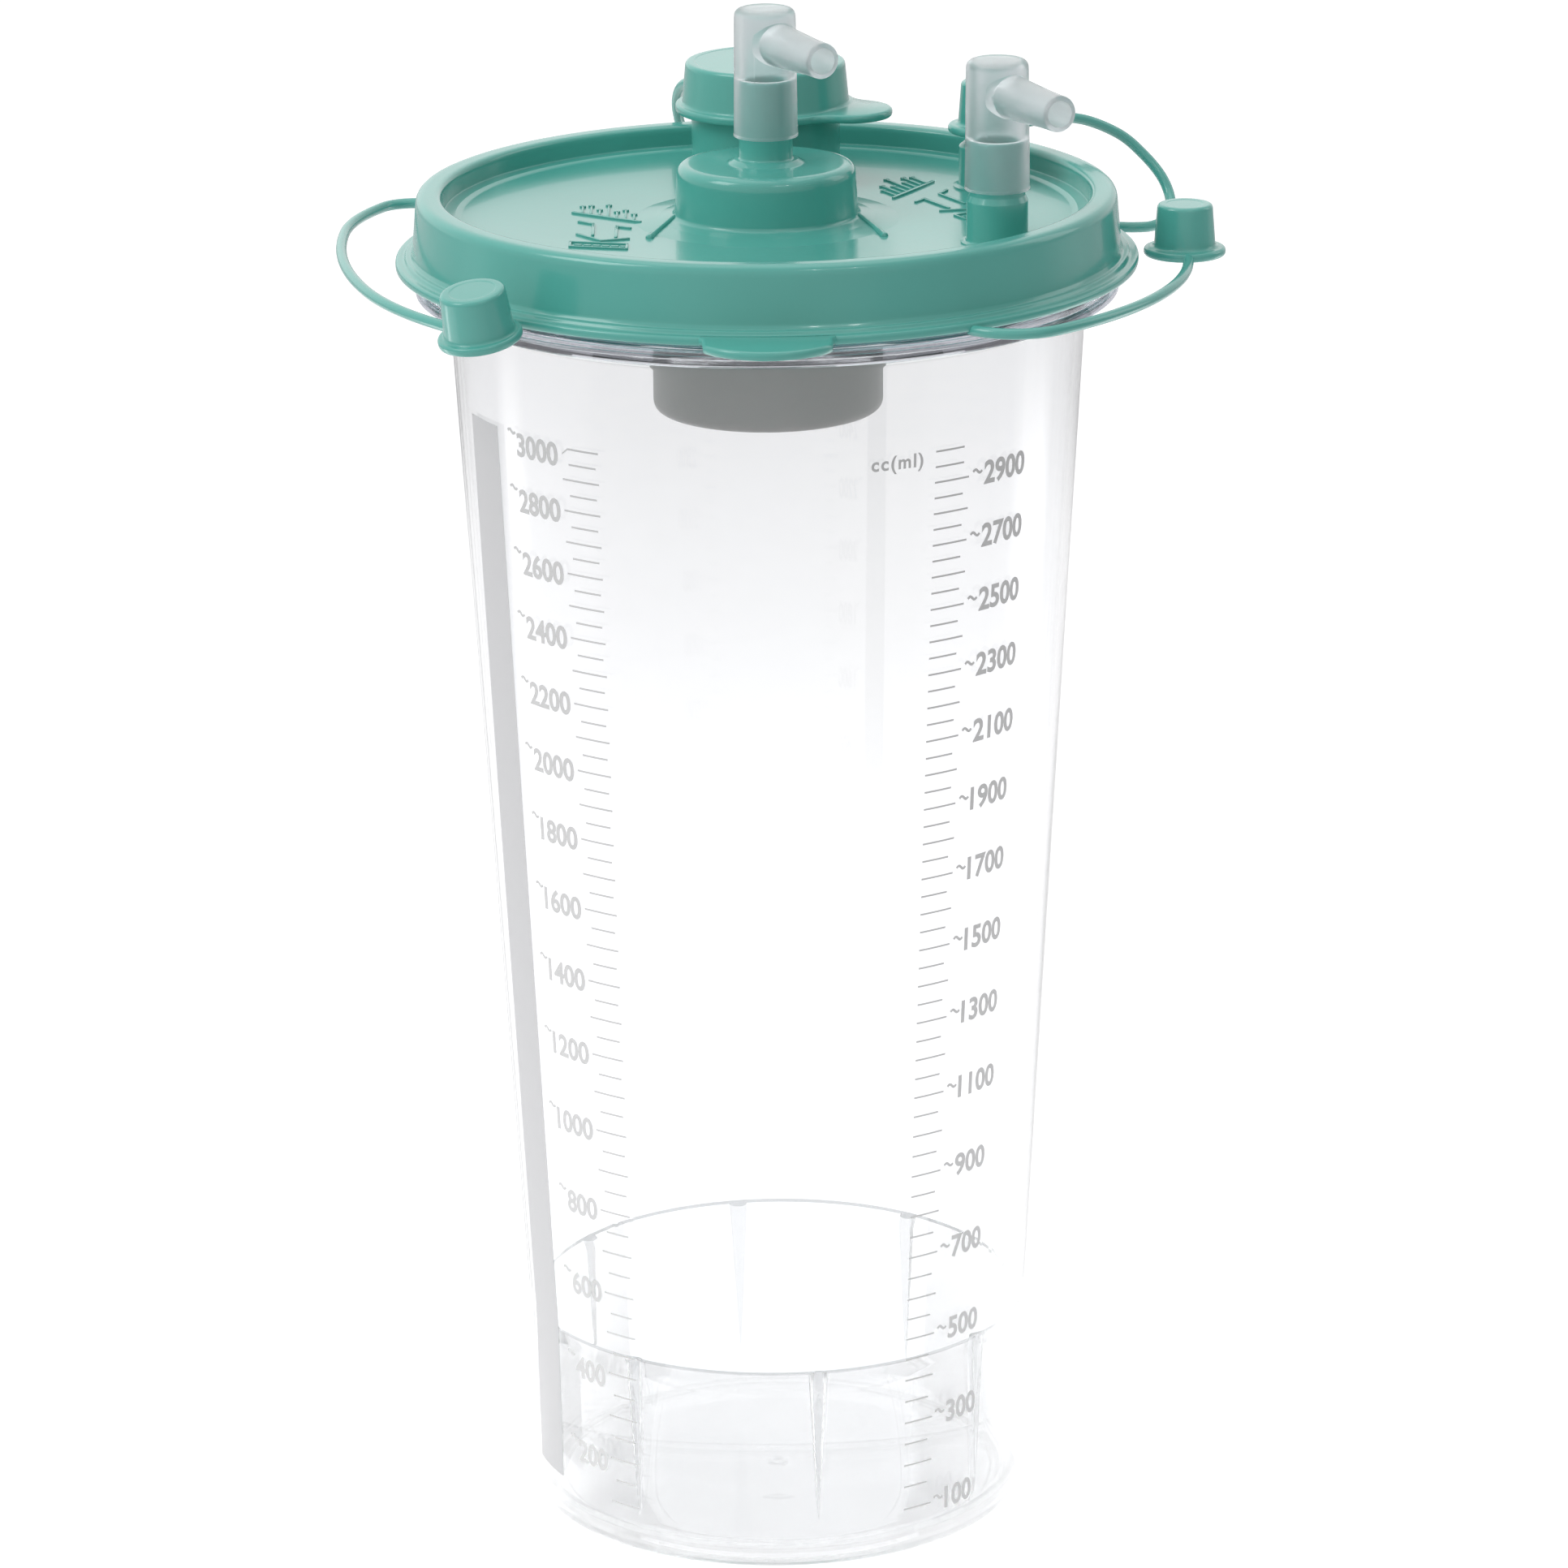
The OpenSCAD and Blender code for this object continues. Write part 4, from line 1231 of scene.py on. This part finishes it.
    def mark(self, name: str, x: float, y: float, mirror: int, turn: float) -> bpy.types.Object:
        """Builds one raised mark: a bar with a row of pins, an arrow under it and a bare tablet.

        Args:
            name: Name of the piece.
            x: Place across, in millimetres.
            y: Place to the back, in millimetres.
            mirror: One, or minus one for the mark seen in a mirror.
            turn: Angle of the mark, counter-clockwise, in degrees.

        Returns:
            The new object.
        """
        lines: list[tuple[tuple[Point2, Point2], float]] = [(((-7.5, 4.3), (7.4, -4.3)), 0.45)]
        for k, tall in enumerate((6.3, 8.0, 5.2, 11.2, 5.7, 8.4, 5.6)):
            px = -5.5 + 1.93 * k
            foot = -0.577 * px + 1.0
            lines += [(((px, foot), (px, foot + tall)), 0.28), (((px - 0.35, foot + tall), (px + 0.3, foot + tall)), 0.4)]
        lines += [(((-6.0, -4.8), (-2.8, -7.0)), 0.36), (((-2.8, -7.0), (-2.7, -18.6)), 0.36)]
        lines += [(((2.4, -9.3), (5.4, -10.8)), 0.36), (((2.4, -9.3), (2.4, -20.6)), 0.36)]
        lines += [(((-6.1, -17.9), (-0.8, -24.4)), 0.36), (((-0.8, -24.4), (5.2, -21.8)), 0.36)]
        tablet = ((-7.4, -26.4), (5.0, -27.8), (5.0, -32.8), (-7.4, -31.4))
        lines += [((tablet[i], tablet[(i + 1) % 4]), 0.32) for i in range(4)]
        lines += [(((-6.0 + 2.0 * k, -29.6 - 0.22 * k), (-5.2 + 2.0 * k, -29.7 - 0.22 * k)), 0.5) for k in range(6)]
        parts = [self.stroke(ends, half) for ends, half in lines]
        obj = join(parts[0], parts[1:])
        obj.name = name
        obj.data.transform(Matrix.Translation(Vector((x, y, 0)) * MM) @ Matrix.Rotation(math.radians(turn), 4, "Z")
                           @ Matrix.Diagonal((mirror, 1, 1, 1)))
        if mirror < 0:
            obj.data.flip_normals()
        for v in obj.data.vertices:
            v.co.z += (self.deck(math.hypot(v.co.x, v.co.y) / MM) - self.plate_z) * MM
        return obj

    def build(self) -> None:
        """Builds the lid."""
        teal = self.finishes.get("teal")
        skin = dress(self.skin(), teal, Body.LID)
        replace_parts(skin, "lid")
        ports = {"vacuum_hub": self.hub(), "large_port": self.tower(),
                 "patient_port": self.spout(self.patient, 4.6, "patient_tower"),
                 "tandem_port": self.spout(self.tandem, 3.6, "tandem_tower")}
        for node, piece in ports.items():
            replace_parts(dress(piece, teal, Body.LID), node)
        for piece in (self.tab(), join(self.wing(-1), [self.wing(1)]),
                      self.mark("left_mark", -35.5, 1.0, 1, 0.0), self.mark("right_mark", 33.1, 26.0, -1, 28.0)):
            dress(piece, teal, Body.LID)


@dataclass
class PushCap:
    """A push-on cap that stands on its flange, in millimetres."""

    finishes: Finishes
    name: str
    node: str
    body: Body
    inner_r: float
    foot_r: float
    top_r: float
    flange_r: float
    height: float
    place: Vector
    lean: tuple[float, float] = (0.0, 0.0)
    flange_t: float = 2.0
    roof_t: float = 1.5

    def shell(self) -> bpy.types.Object:
        """Builds the cap at the origin as one closed mesh."""
        roof = self.height - self.roof_t
        corners: list[Corner] = [(0, roof, 0), (self.inner_r, roof, 0.8), (self.inner_r, 0, 0.3)]
        corners += [(self.flange_r, 0, 0.95), (self.flange_r, self.flange_t, 0.95)]
        corners += [(self.foot_r + 0.3, self.flange_t, 1.1), (self.top_r, self.height, 1.6)]
        corners += [(self.top_r - 1.9, self.height, 0.3), (self.top_r - 2.2, self.height - 0.08, 0.3)]
        corners += [(0, self.height - 0.06, 0)]
        return lathe(self.name, rounded(corners, 6), 96)

    def build(self) -> bpy.types.Object:
        """Builds, places and dresses the cap, and returns it."""
        obj = self.shell()
        azimuth, lean = self.lean
        turn = Matrix.Rotation(math.radians(azimuth), 4, "Z") @ Matrix.Rotation(math.radians(lean), 4, "X")
        obj.data.transform(Matrix.Translation(self.place * MM) @ turn)
        dress(obj, self.finishes.get("teal"), self.body)
        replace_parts(obj, self.node)
        return obj


@dataclass
class LargeCapTab:
    """The pull tab of the large cap."""

    finishes: Finishes
    centre: tuple[float, float] = (0.0, 44.0)
    flange_r: float = 20.5
    radius: float = 9.6
    reach: float = 20.6
    root_r: float = 8.0
    turn: float = -22.0
    z: float = 315.7
    thickness: float = 2.0

    def outline(self) -> list[Point2]:
        """Returns the tongue's outline from the flange's centre, with a hollow curve on each side of its root."""
        far, near = self.flange_r + self.root_r, self.radius + self.root_r
        x = (far ** 2 - near ** 2 + self.reach ** 2) / (2 * self.reach)
        y = math.sqrt(far ** 2 - x ** 2)
        root, tip = math.atan2(y, x), math.atan2(y, x - self.reach)
        side = []
        for k in range(11):
            b = root + math.pi + (tip - root) * k / 10
            side.append((x + self.root_r * math.cos(b), y + self.root_r * math.sin(b)))
        front = [(self.reach + self.radius * math.cos(b), self.radius * math.sin(b))
                 for b in (tip - 2 * tip * k / 28 for k in range(1, 28))]
        back = [(px, -py) for px, py in reversed(side)]
        inner = self.flange_r - 1.2
        return [*side, *front, *back, (inner * math.cos(root), -inner * math.sin(root)),
                (inner * math.cos(root), inner * math.sin(root))]

    def build(self) -> None:
        """Builds the tab as a rounded tongue that flows out of the flange."""
        a = math.radians(self.turn)
        placed = [(self.centre[0] + x * math.cos(a) - y * math.sin(a), self.centre[1] + x * math.sin(a) + y * math.cos(a))
                  for x, y in self.outline()]
        tab = prism("large_cap_tab", placed, self.z, self.z + self.thickness, 0.8)
        dress(tab, self.finishes.get("teal"), Body.LARGE_CAP)


@dataclass
class Tethers:
    """The four round tethers of the caps."""

    finishes: Finishes
    radius: float = 1.2
    z: float = 290.85
    flange_r: float = 82.5

    def chain(self, start: Vector, heading: float, turns: Sequence[tuple[float, float]]) -> list[Vector]:
        """Returns points along arcs that turn clockwise, end to end.

        Args:
            start: First point, in millimetres.
            heading: First direction in degrees from +X.
            turns: Radius and sweep of each arc.

        Returns:
            The points in metres.
        """
        x, y, out = start.x, start.y, []
        for radius, sweep in turns:
            a = math.radians(heading)
            cx, cy = x + radius * math.sin(a), y - radius * math.cos(a)
            steps = max(6, int(radius * math.radians(sweep) / 1.2))
            for k in range(steps):
                b = math.radians(heading - sweep * k / steps)
                out.append(Vector((cx - radius * math.sin(b), cy + radius * math.cos(b), self.z)) * MM)
            heading -= sweep
            b = math.radians(heading)
            x, y = cx - radius * math.sin(b), cy + radius * math.cos(b)
        out.append(Vector((x, y, self.z)) * MM)
        return out

    def rising(self, shares: Sequence[Corner], centre: Point2, azimuth: float, flange: float, top: float
               ) -> list[Vector]:
        """Returns points of a tether that rises from the lid's flange to a cap's flange."""
        points = [polar(a, s * self.flange_r, self.z + r * (top - self.z)) for a, s, r in shares]
        points += [Vector((centre[0], centre[1], 0)) * MM + polar(azimuth, flange + d, top) for d in (4.8, -0.4)]
        return smooth_line(points, 8)

    def build(self) -> None:
        """Builds the tethers."""
        teal = self.finishes.get("teal")
        at_left, at_right = polar(-46.4, 92.4, 0) / MM, polar(87.5, 93.5, 0) / MM
        left = self.chain(at_left, 131.5, [(102, 23.8), (170, 20), (62, 25.7), (8, 120), (60, 15)])
        right = self.chain(at_right, -92.5, [(93, 46.5), (13, 90)])
        for name, node, line in (("left_tether", "left_cap_tether", left), ("right_tether", "right_cap_tether", right)):
            obj = dress(tube(name, line, self.radius), teal, Body.LID)
            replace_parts(obj, node)
        tandem = [(112.6, 0.985, 0), (109.5, 1.07, 0), (109.8, 1.135, 0), (112.2, 1.20, 0.05), (115, 1.23, 0.18),
                  (117, 1.225, 0.36), (118.8, 1.19, 0.56), (120, 1.13, 0.76), (120.8, 1.03, 0.93), (121, 0.93, 1.0)]
        large = [(-172, 0.985, 0), (-171.5, 1.06, 0), (-169.5, 1.115, 0.12), (-167.8, 1.12, 0.4),
                 (-166.3, 1.06, 0.7), (-166, 0.97, 0.92), (-167.5, 0.88, 1.01)]
        rising = (
            ("tandem_tether", "tandem_cap_tether", tandem, (50.2, 29.0), 123.0, 9.15, 314.3, Body.TANDEM_CAP),
            ("large_tether", "large_cap_tether", large, (0.0, 44.0), -161.0, 20.5, 316.7, Body.LARGE_CAP),
        )
        for name, node, shares, centre, azimuth, flange, top, body in rising:
            line = self.rising(shares, centre, azimuth, flange, top)
            obj = dress(tube(name, line, self.radius), teal, None)
            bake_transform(obj)
            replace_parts(obj, node)


@dataclass
class Elbow:
    """A swivel elbow: a column that sits on a spout, and an arm for the tube."""

    finishes: Finishes
    name: str
    node: str
    body: Body
    place: Vector
    spout_r: float
    spout_in: float
    turn: float = 27.0
    mouth_r: float = 7.1
    top_r: float = 6.8
    height: float = 28.7
    round_r: float = 2.0
    neck_r: float = 5.0
    arm_drop: float = 7.4
    reach: float = 27.5
    root_r: float = 4.7
    end_r: float = 3.95
    bore_r: float = 2.9
    straight: float = 6.0

    def build(self) -> None:
        """Builds the elbow as one closed mesh with its bores."""
        h, arm_z = self.height, self.height - self.arm_drop
        column = [(0, 0, 0), (self.mouth_r + 0.08, 0, 0.2), (self.mouth_r + 0.08, 0.5, 0.2), (self.mouth_r, 0.7, 0.2),
                  (self.top_r, h - 0.2, self.round_r), (0, h, 0)]
        body = lathe(self.name, rounded(column, 6), 96)
        arm = [(0, 0, 0), (self.root_r + 0.9, self.top_r - 2.2, 0), (self.root_r + 0.1, self.top_r + 0.2, 0.6),
               (self.end_r + 0.1, self.reach - self.straight, 3.0), (self.end_r, self.reach, 0.5), (0, self.reach, 0)]
        across = Matrix.Translation((0, 0, arm_z * MM)) @ Matrix.Rotation(math.radians(90), 4, "X")
        limb = lathe("limb", rounded(arm, 6), 72)
        limb.data.transform(across)
        apply_boolean(body, limb, "UNION")
        mouth = lathe("mouth", [(0, -2), (self.spout_r + 0.05, -2), (self.spout_r + 0.05, self.spout_in + 0.3),
                                (self.neck_r, self.spout_in + 0.31), (self.neck_r, h - 1.5), (0, h - 1.5)], 96)
        way = lathe("way", [(0, 0), (self.bore_r, 0), (self.bore_r, self.reach + 2), (0, self.reach + 2)], 64)
        way.data.transform(across)
        apply_boolean(mouth, way, "UNION")
        apply_boolean(body, mouth, "DIFFERENCE")
        body.data.transform(Matrix.Translation(self.place * MM) @ Matrix.Rotation(math.radians(self.turn), 4, "Z"))
        tidy_mesh(body, 32.0)
        dress(body, self.finishes.get("milky"), self.body)
        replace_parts(body, self.node)


@dataclass
class Shutoff:
    """The grey housing under the hub, and the float in it."""

    finishes: Finishes
    radius: float = 25.7
    wall_t: float = 1.6
    round_r: float = 3.6
    low_z: float = 257.45
    high_z: float = 298.45
    fin_r: float = 14.3
    fin_t: float = 1.6

    def build(self, frame: dict) -> None:
        """Builds the housing and dresses the nodes of the float.

        Args:
            frame: What the frame's load returned.
        """
        inner, sill = self.radius - self.wall_t, self.radius - self.round_r - self.wall_t
        corners: list[Corner] = [(sill, self.low_z, 0.4), (self.radius, self.low_z, 2.6), (self.radius, self.high_z, 0)]
        corners += [(inner, self.high_z, 0), (inner, self.low_z + self.wall_t, 0.3), (sill, self.low_z + self.wall_t, 0)]
        housing = lathe("float_housing", rounded([(sill + 0.01, self.low_z, 0), *corners[1:]], 6), 144, ring=True)
        fins = []
        for k in range(4):
            half = self.fin_t / 2
            fin = prism("fin", [(self.fin_r, -half), (inner + 0.4, -half), (inner + 0.4, half), (self.fin_r, half)],
                        264.7, self.high_z - 0.2, 0.2)
            fin.data.transform(Matrix.Rotation(math.radians(45 + 90 * k), 4, "Z"))
            fins.append(fin)
        join(housing, fins)
        dress(housing, self.finishes.get("grey"), Body.LID)
        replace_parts(housing, "shutoff_housing")
        for node, finish in (("float_cage", "white"), ("float_cup", "white"), ("float_seal", "rubber")):
            mesh = frame["nodes"][node].data
            mesh.materials.clear()
            mesh.materials.append(self.finishes.get(finish))
            log.info("%s: %s finish", node, finish)


# The studio


@dataclass
class Studio:
    """Camera, lamps, world and floor."""

    sensor: float = 36.0
    lens: float = 157.67
    distance: float = 1.56246
    target_z: float = 0.16887
    pitch: float = 0.299515
    roll: float = -0.009493
    shift_x: float = 0.00766
    floor_glow: float = 0.55
    # Painted shade: the floor's glow through clear plastic, dimmer farther behind, which greys the canister's upper
    # part.
    floor_behind: tuple[Point2, ...] = ((0.0, 0.5), (0.45, 0.42), (0.75, 0.24), (1.0, 0.15))
    sky: tuple[Point2, ...] = ((0.0, 1.0), (0.25, 0.8), (0.5, 0.6), (0.72, 0.3), (0.9, 0.25), (1.0, 0.5))
    sides: tuple[Point2, ...] = ((0.0, 0.80), (0.12, 0.97), (0.30, 1.0), (0.70, 1.0), (0.86, 0.80), (1.0, 0.45))
    # band_top, band_reach and the bands below set painted reflections: bright strips the floor glows only in
    # reflections, standing in for softboxes.
    band_top: float = 3.0
    band_reach: tuple[Point2, ...] = ((0.0, 1.0), (0.80, 1.0), (1.0, 0.1))
    bands: tuple[Point2, ...] = ((-180, 0.5), (-116, 0.45), (-109, 3.0), (-104, 3.0), (-98, 1.2), (-70, 1.0),
                                 (-62, 0.45), (54, 0.4), (60, 0.7), (98, 0.8), (106, 2.6), (118, 2.4), (126, 0.5),
                                 (180, 0.5))

    def camera(self) -> None:
        """Puts the camera at the photograph's place."""
        data = bpy.data.cameras.new("camera")
        data.sensor_width, data.lens, data.shift_x = self.sensor, self.lens, self.shift_x
        data.clip_start, data.clip_end = 0.05, 20.0
        obj = bpy.data.objects.new("camera", data)
        bpy.context.scene.collection.objects.link(obj)
        back = Vector((0, -math.cos(self.pitch), math.sin(self.pitch)))
        obj.location = Vector((0, 0, self.target_z)) + back * self.distance
        obj.rotation_mode = "QUATERNION"
        obj.rotation_quaternion = (-back).to_track_quat("-Z", "Y") @ Quaternion((0, 0, 1), self.roll)
        bpy.context.scene.camera = obj

    def floor(self) -> None:
        """Lays a pale floor that shows white to the camera, glows dimmer farther back through clear plastic as painted
        shade, and glows in bright bands in reflections as painted reflections.
        """
        half = 4.0
        verts = [(-half, -half, -0.0002), (half, -half, -0.0002), (half, half, -0.0002), (-half, half, -0.0002)]
        obj = new_object("floor", verts, [(0, 1, 2, 3)])
        if obj.data.polygons[0].normal.z < 0:
            obj.data.flip_normals()
        tree = Tree("pale_floor")
        grain = tree.noise(60.0)
        base = tree.add("ShaderNodeBsdfDiffuse", Color=tree.blend(grain, (0.80, 0.80, 0.81), (0.82, 0.82, 0.83)))
        glow = tree.add("ShaderNodeEmission", Color=(1, 1, 1, 1))
        path = tree.nodes.new("ShaderNodeLightPath")
        where = tree.nodes.new("ShaderNodeSeparateXYZ")
        tree.put(where.inputs["Vector"], tree.nodes.new("ShaderNodeTexCoord").outputs["Object"])
        through = path.outputs["Is Transmission Ray"]
        mirrored = tree.math("SUBTRACT", path.outputs["Is Glossy Ray"], through)
        mirrored = tree.math("MAXIMUM", mirrored, 0.0)
        # Painted shade: seen through clear plastic the floor glows less the farther back it lies.
        behind = tree.ramp(where.outputs["Y"], self.floor_behind)
        turn = tree.math("ARCTAN2", where.outputs["X"], tree.math("MULTIPLY", where.outputs["Y"], -1.0))
        share = tree.math("MULTIPLY_ADD", turn, 0.5 / math.pi, 0.5)
        # Painted reflections: bright strips of floor glow by angle round the object, fading far out.
        bands = tree.math("MULTIPLY", tree.ramp(share, [(a / 360 + 0.5, v / self.band_top) for a, v in self.bands]),
                          self.band_top)
        across = tree.math("MULTIPLY", where.outputs["X"], where.outputs["X"])
        reach = tree.math("SQRT", tree.math("MULTIPLY_ADD", where.outputs["Y"], where.outputs["Y"], across))
        far = tree.ramp(reach, self.band_reach)
        bands = tree.math("MULTIPLY", bands, far)
        power = tree.math("MULTIPLY", path.outputs["Is Camera Ray"], self.floor_glow)
        power = tree.math("MULTIPLY_ADD", through, behind, power)
        power = tree.math("MULTIPLY_ADD", mirrored, bands, power)
        tree.put(glow.inputs["Strength"], power)
        both = tree.nodes.new("ShaderNodeAddShader")
        tree.put(both.inputs[0], base.outputs["BSDF"])
        tree.put(both.inputs[1], glow.outputs["Emission"])
        obj.data.materials.append(tree.finish(both.outputs["Shader"]))

    def world(self) -> None:
        """Sets a white world that is greyer at the sides, which draws the edges of the clear wall."""
        tree = Tree("studio", world=True)
        bpy.context.scene.world = tree.owner
        where = tree.nodes.new("ShaderNodeSeparateXYZ")
        tree.put(where.inputs["Vector"], tree.nodes.new("ShaderNodeTexCoord").outputs["Generated"])
        across = tree.math("MULTIPLY_ADD", where.outputs["X"], 0.5, 0.5)
        seen = tree.add("ShaderNodeBackground", Color=tree.ramp(across, self.sides))
        white = tree.add("ShaderNodeBackground", Color=(1, 1, 1, 1))
        plain = tree.add("ShaderNodeBackground", Color=tree.ramp(across, self.sky))
        path = tree.nodes.new("ShaderNodeLightPath")
        through = tree.math("MAXIMUM", path.outputs["Is Glossy Ray"], path.outputs["Is Transmission Ray"])
        shader = plain
        for share, other in ((through, seen), (path.outputs["Is Camera Ray"], white)):
            mix = tree.nodes.new("ShaderNodeMixShader")
            tree.put(mix.inputs[0], share)
            tree.put(mix.inputs[1], shader.outputs[0])
            tree.put(mix.inputs[2], other.outputs[0])
            shader = mix
        tree.finish(shader.outputs[0])

    def lamp(self, name: str, place: Sequence[float], size: Sequence[float], power: float) -> None:
        """Adds one soft lamp that faces the object.

        Args:
            name: Name of the lamp.
            place: Where it stands, in metres.
            size: Its width and height, in metres.
            power: Its power in watts.
        """
        data = bpy.data.lights.new(name, "AREA")
        data.shape, data.size, data.size_y, data.energy = "RECTANGLE", size[0], size[1], power
        obj = bpy.data.objects.new(name, data)
        bpy.context.scene.collection.objects.link(obj)
        obj.location = place
        obj.rotation_mode = "QUATERNION"
        obj.rotation_quaternion = (Vector((0, 0, 0.2)) - Vector(place)).to_track_quat("-Z", "Y")

    def build(self) -> None:
        """Builds the studio."""
        self.camera()
        self.floor()
        self.world()
        self.lamp("key", (-1.25, -0.45, 1.5), (0.8, 0.8), 8.0)
        self.lamp("fill", (1.3, 0.45, 0.9), (0.6, 0.9), 2.0)
        self.lamp("back", (-0.45, 1.35, 0.85), (1.8, 0.9), 0.7)
        self.lamp("top", (0.0, 0.2, 1.6), (1.2, 1.2), 3.5)
        self.lamp("left_glint", (0.35, -1.2, 1.3), (0.06, 0.06), 0.5)
        self.lamp("right_glint", (0.62, -1.05, 1.25), (0.06, 0.06), 0.5)
        bpy.context.scene.view_settings.view_transform = "Standard"
        log.info("studio: camera, floor, world and six lamps")


def main() -> None:
    """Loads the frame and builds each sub-assembly in order."""
    logging.basicConfig(level=logging.INFO, format="%(name)s %(message)s")
    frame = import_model()
    finishes = Finishes(Palette())
    Studio().build()
    Canister(finishes).build()
    PrintedScale(finishes).build()
    Lid(finishes).build()
    left = Vector((92.4 * math.sin(math.radians(-41.3)), -92.4 * math.cos(math.radians(-41.3)), 289.55))
    right = Vector((93.5 * math.sin(math.radians(94.2)), -93.5 * math.cos(math.radians(94.2)), 289.55))
    caps = (
        PushCap(finishes, "large_cap", "large_port_cap", Body.LARGE_CAP, 16.95, 18.7, 18.1, 20.5, 11.5,
                Vector((0, 44, 315.7))),
        PushCap(finishes, "tandem_cap", "tandem_port_cap", Body.TANDEM_CAP, 5.15, 6.6, 6.15, 9.15, 11.7,
                Vector((50.2, 29, 313.3))),
        PushCap(finishes, "left_cap", "left_loose_cap", Body.LID, 6.15, 7.35, 7.05, 9.15, 11.7, left, (-41.3, 12.0)),
        PushCap(finishes, "right_cap", "right_loose_cap", Body.LID, 5.15, 6.6, 6.15, 9.15, 11.7, right),
    )
    for cap in caps:
        cap.build()
    LargeCapTab(finishes).build()
    Tethers(finishes).build()
    Elbow(finishes, "vacuum_tube_elbow", "vacuum_elbow", Body.VACUUM_ELBOW, Vector((0, 0, 318.95)), 5.95, 12.6).build()
    Elbow(finishes, "patient_tube_elbow", "patient_elbow", Body.PATIENT_ELBOW, Vector((50.2, -28.5, 312.65)), 6.1,
          10.8).build()
    Shutoff(finishes).build(frame)


if __name__ == "__main__":
    main()
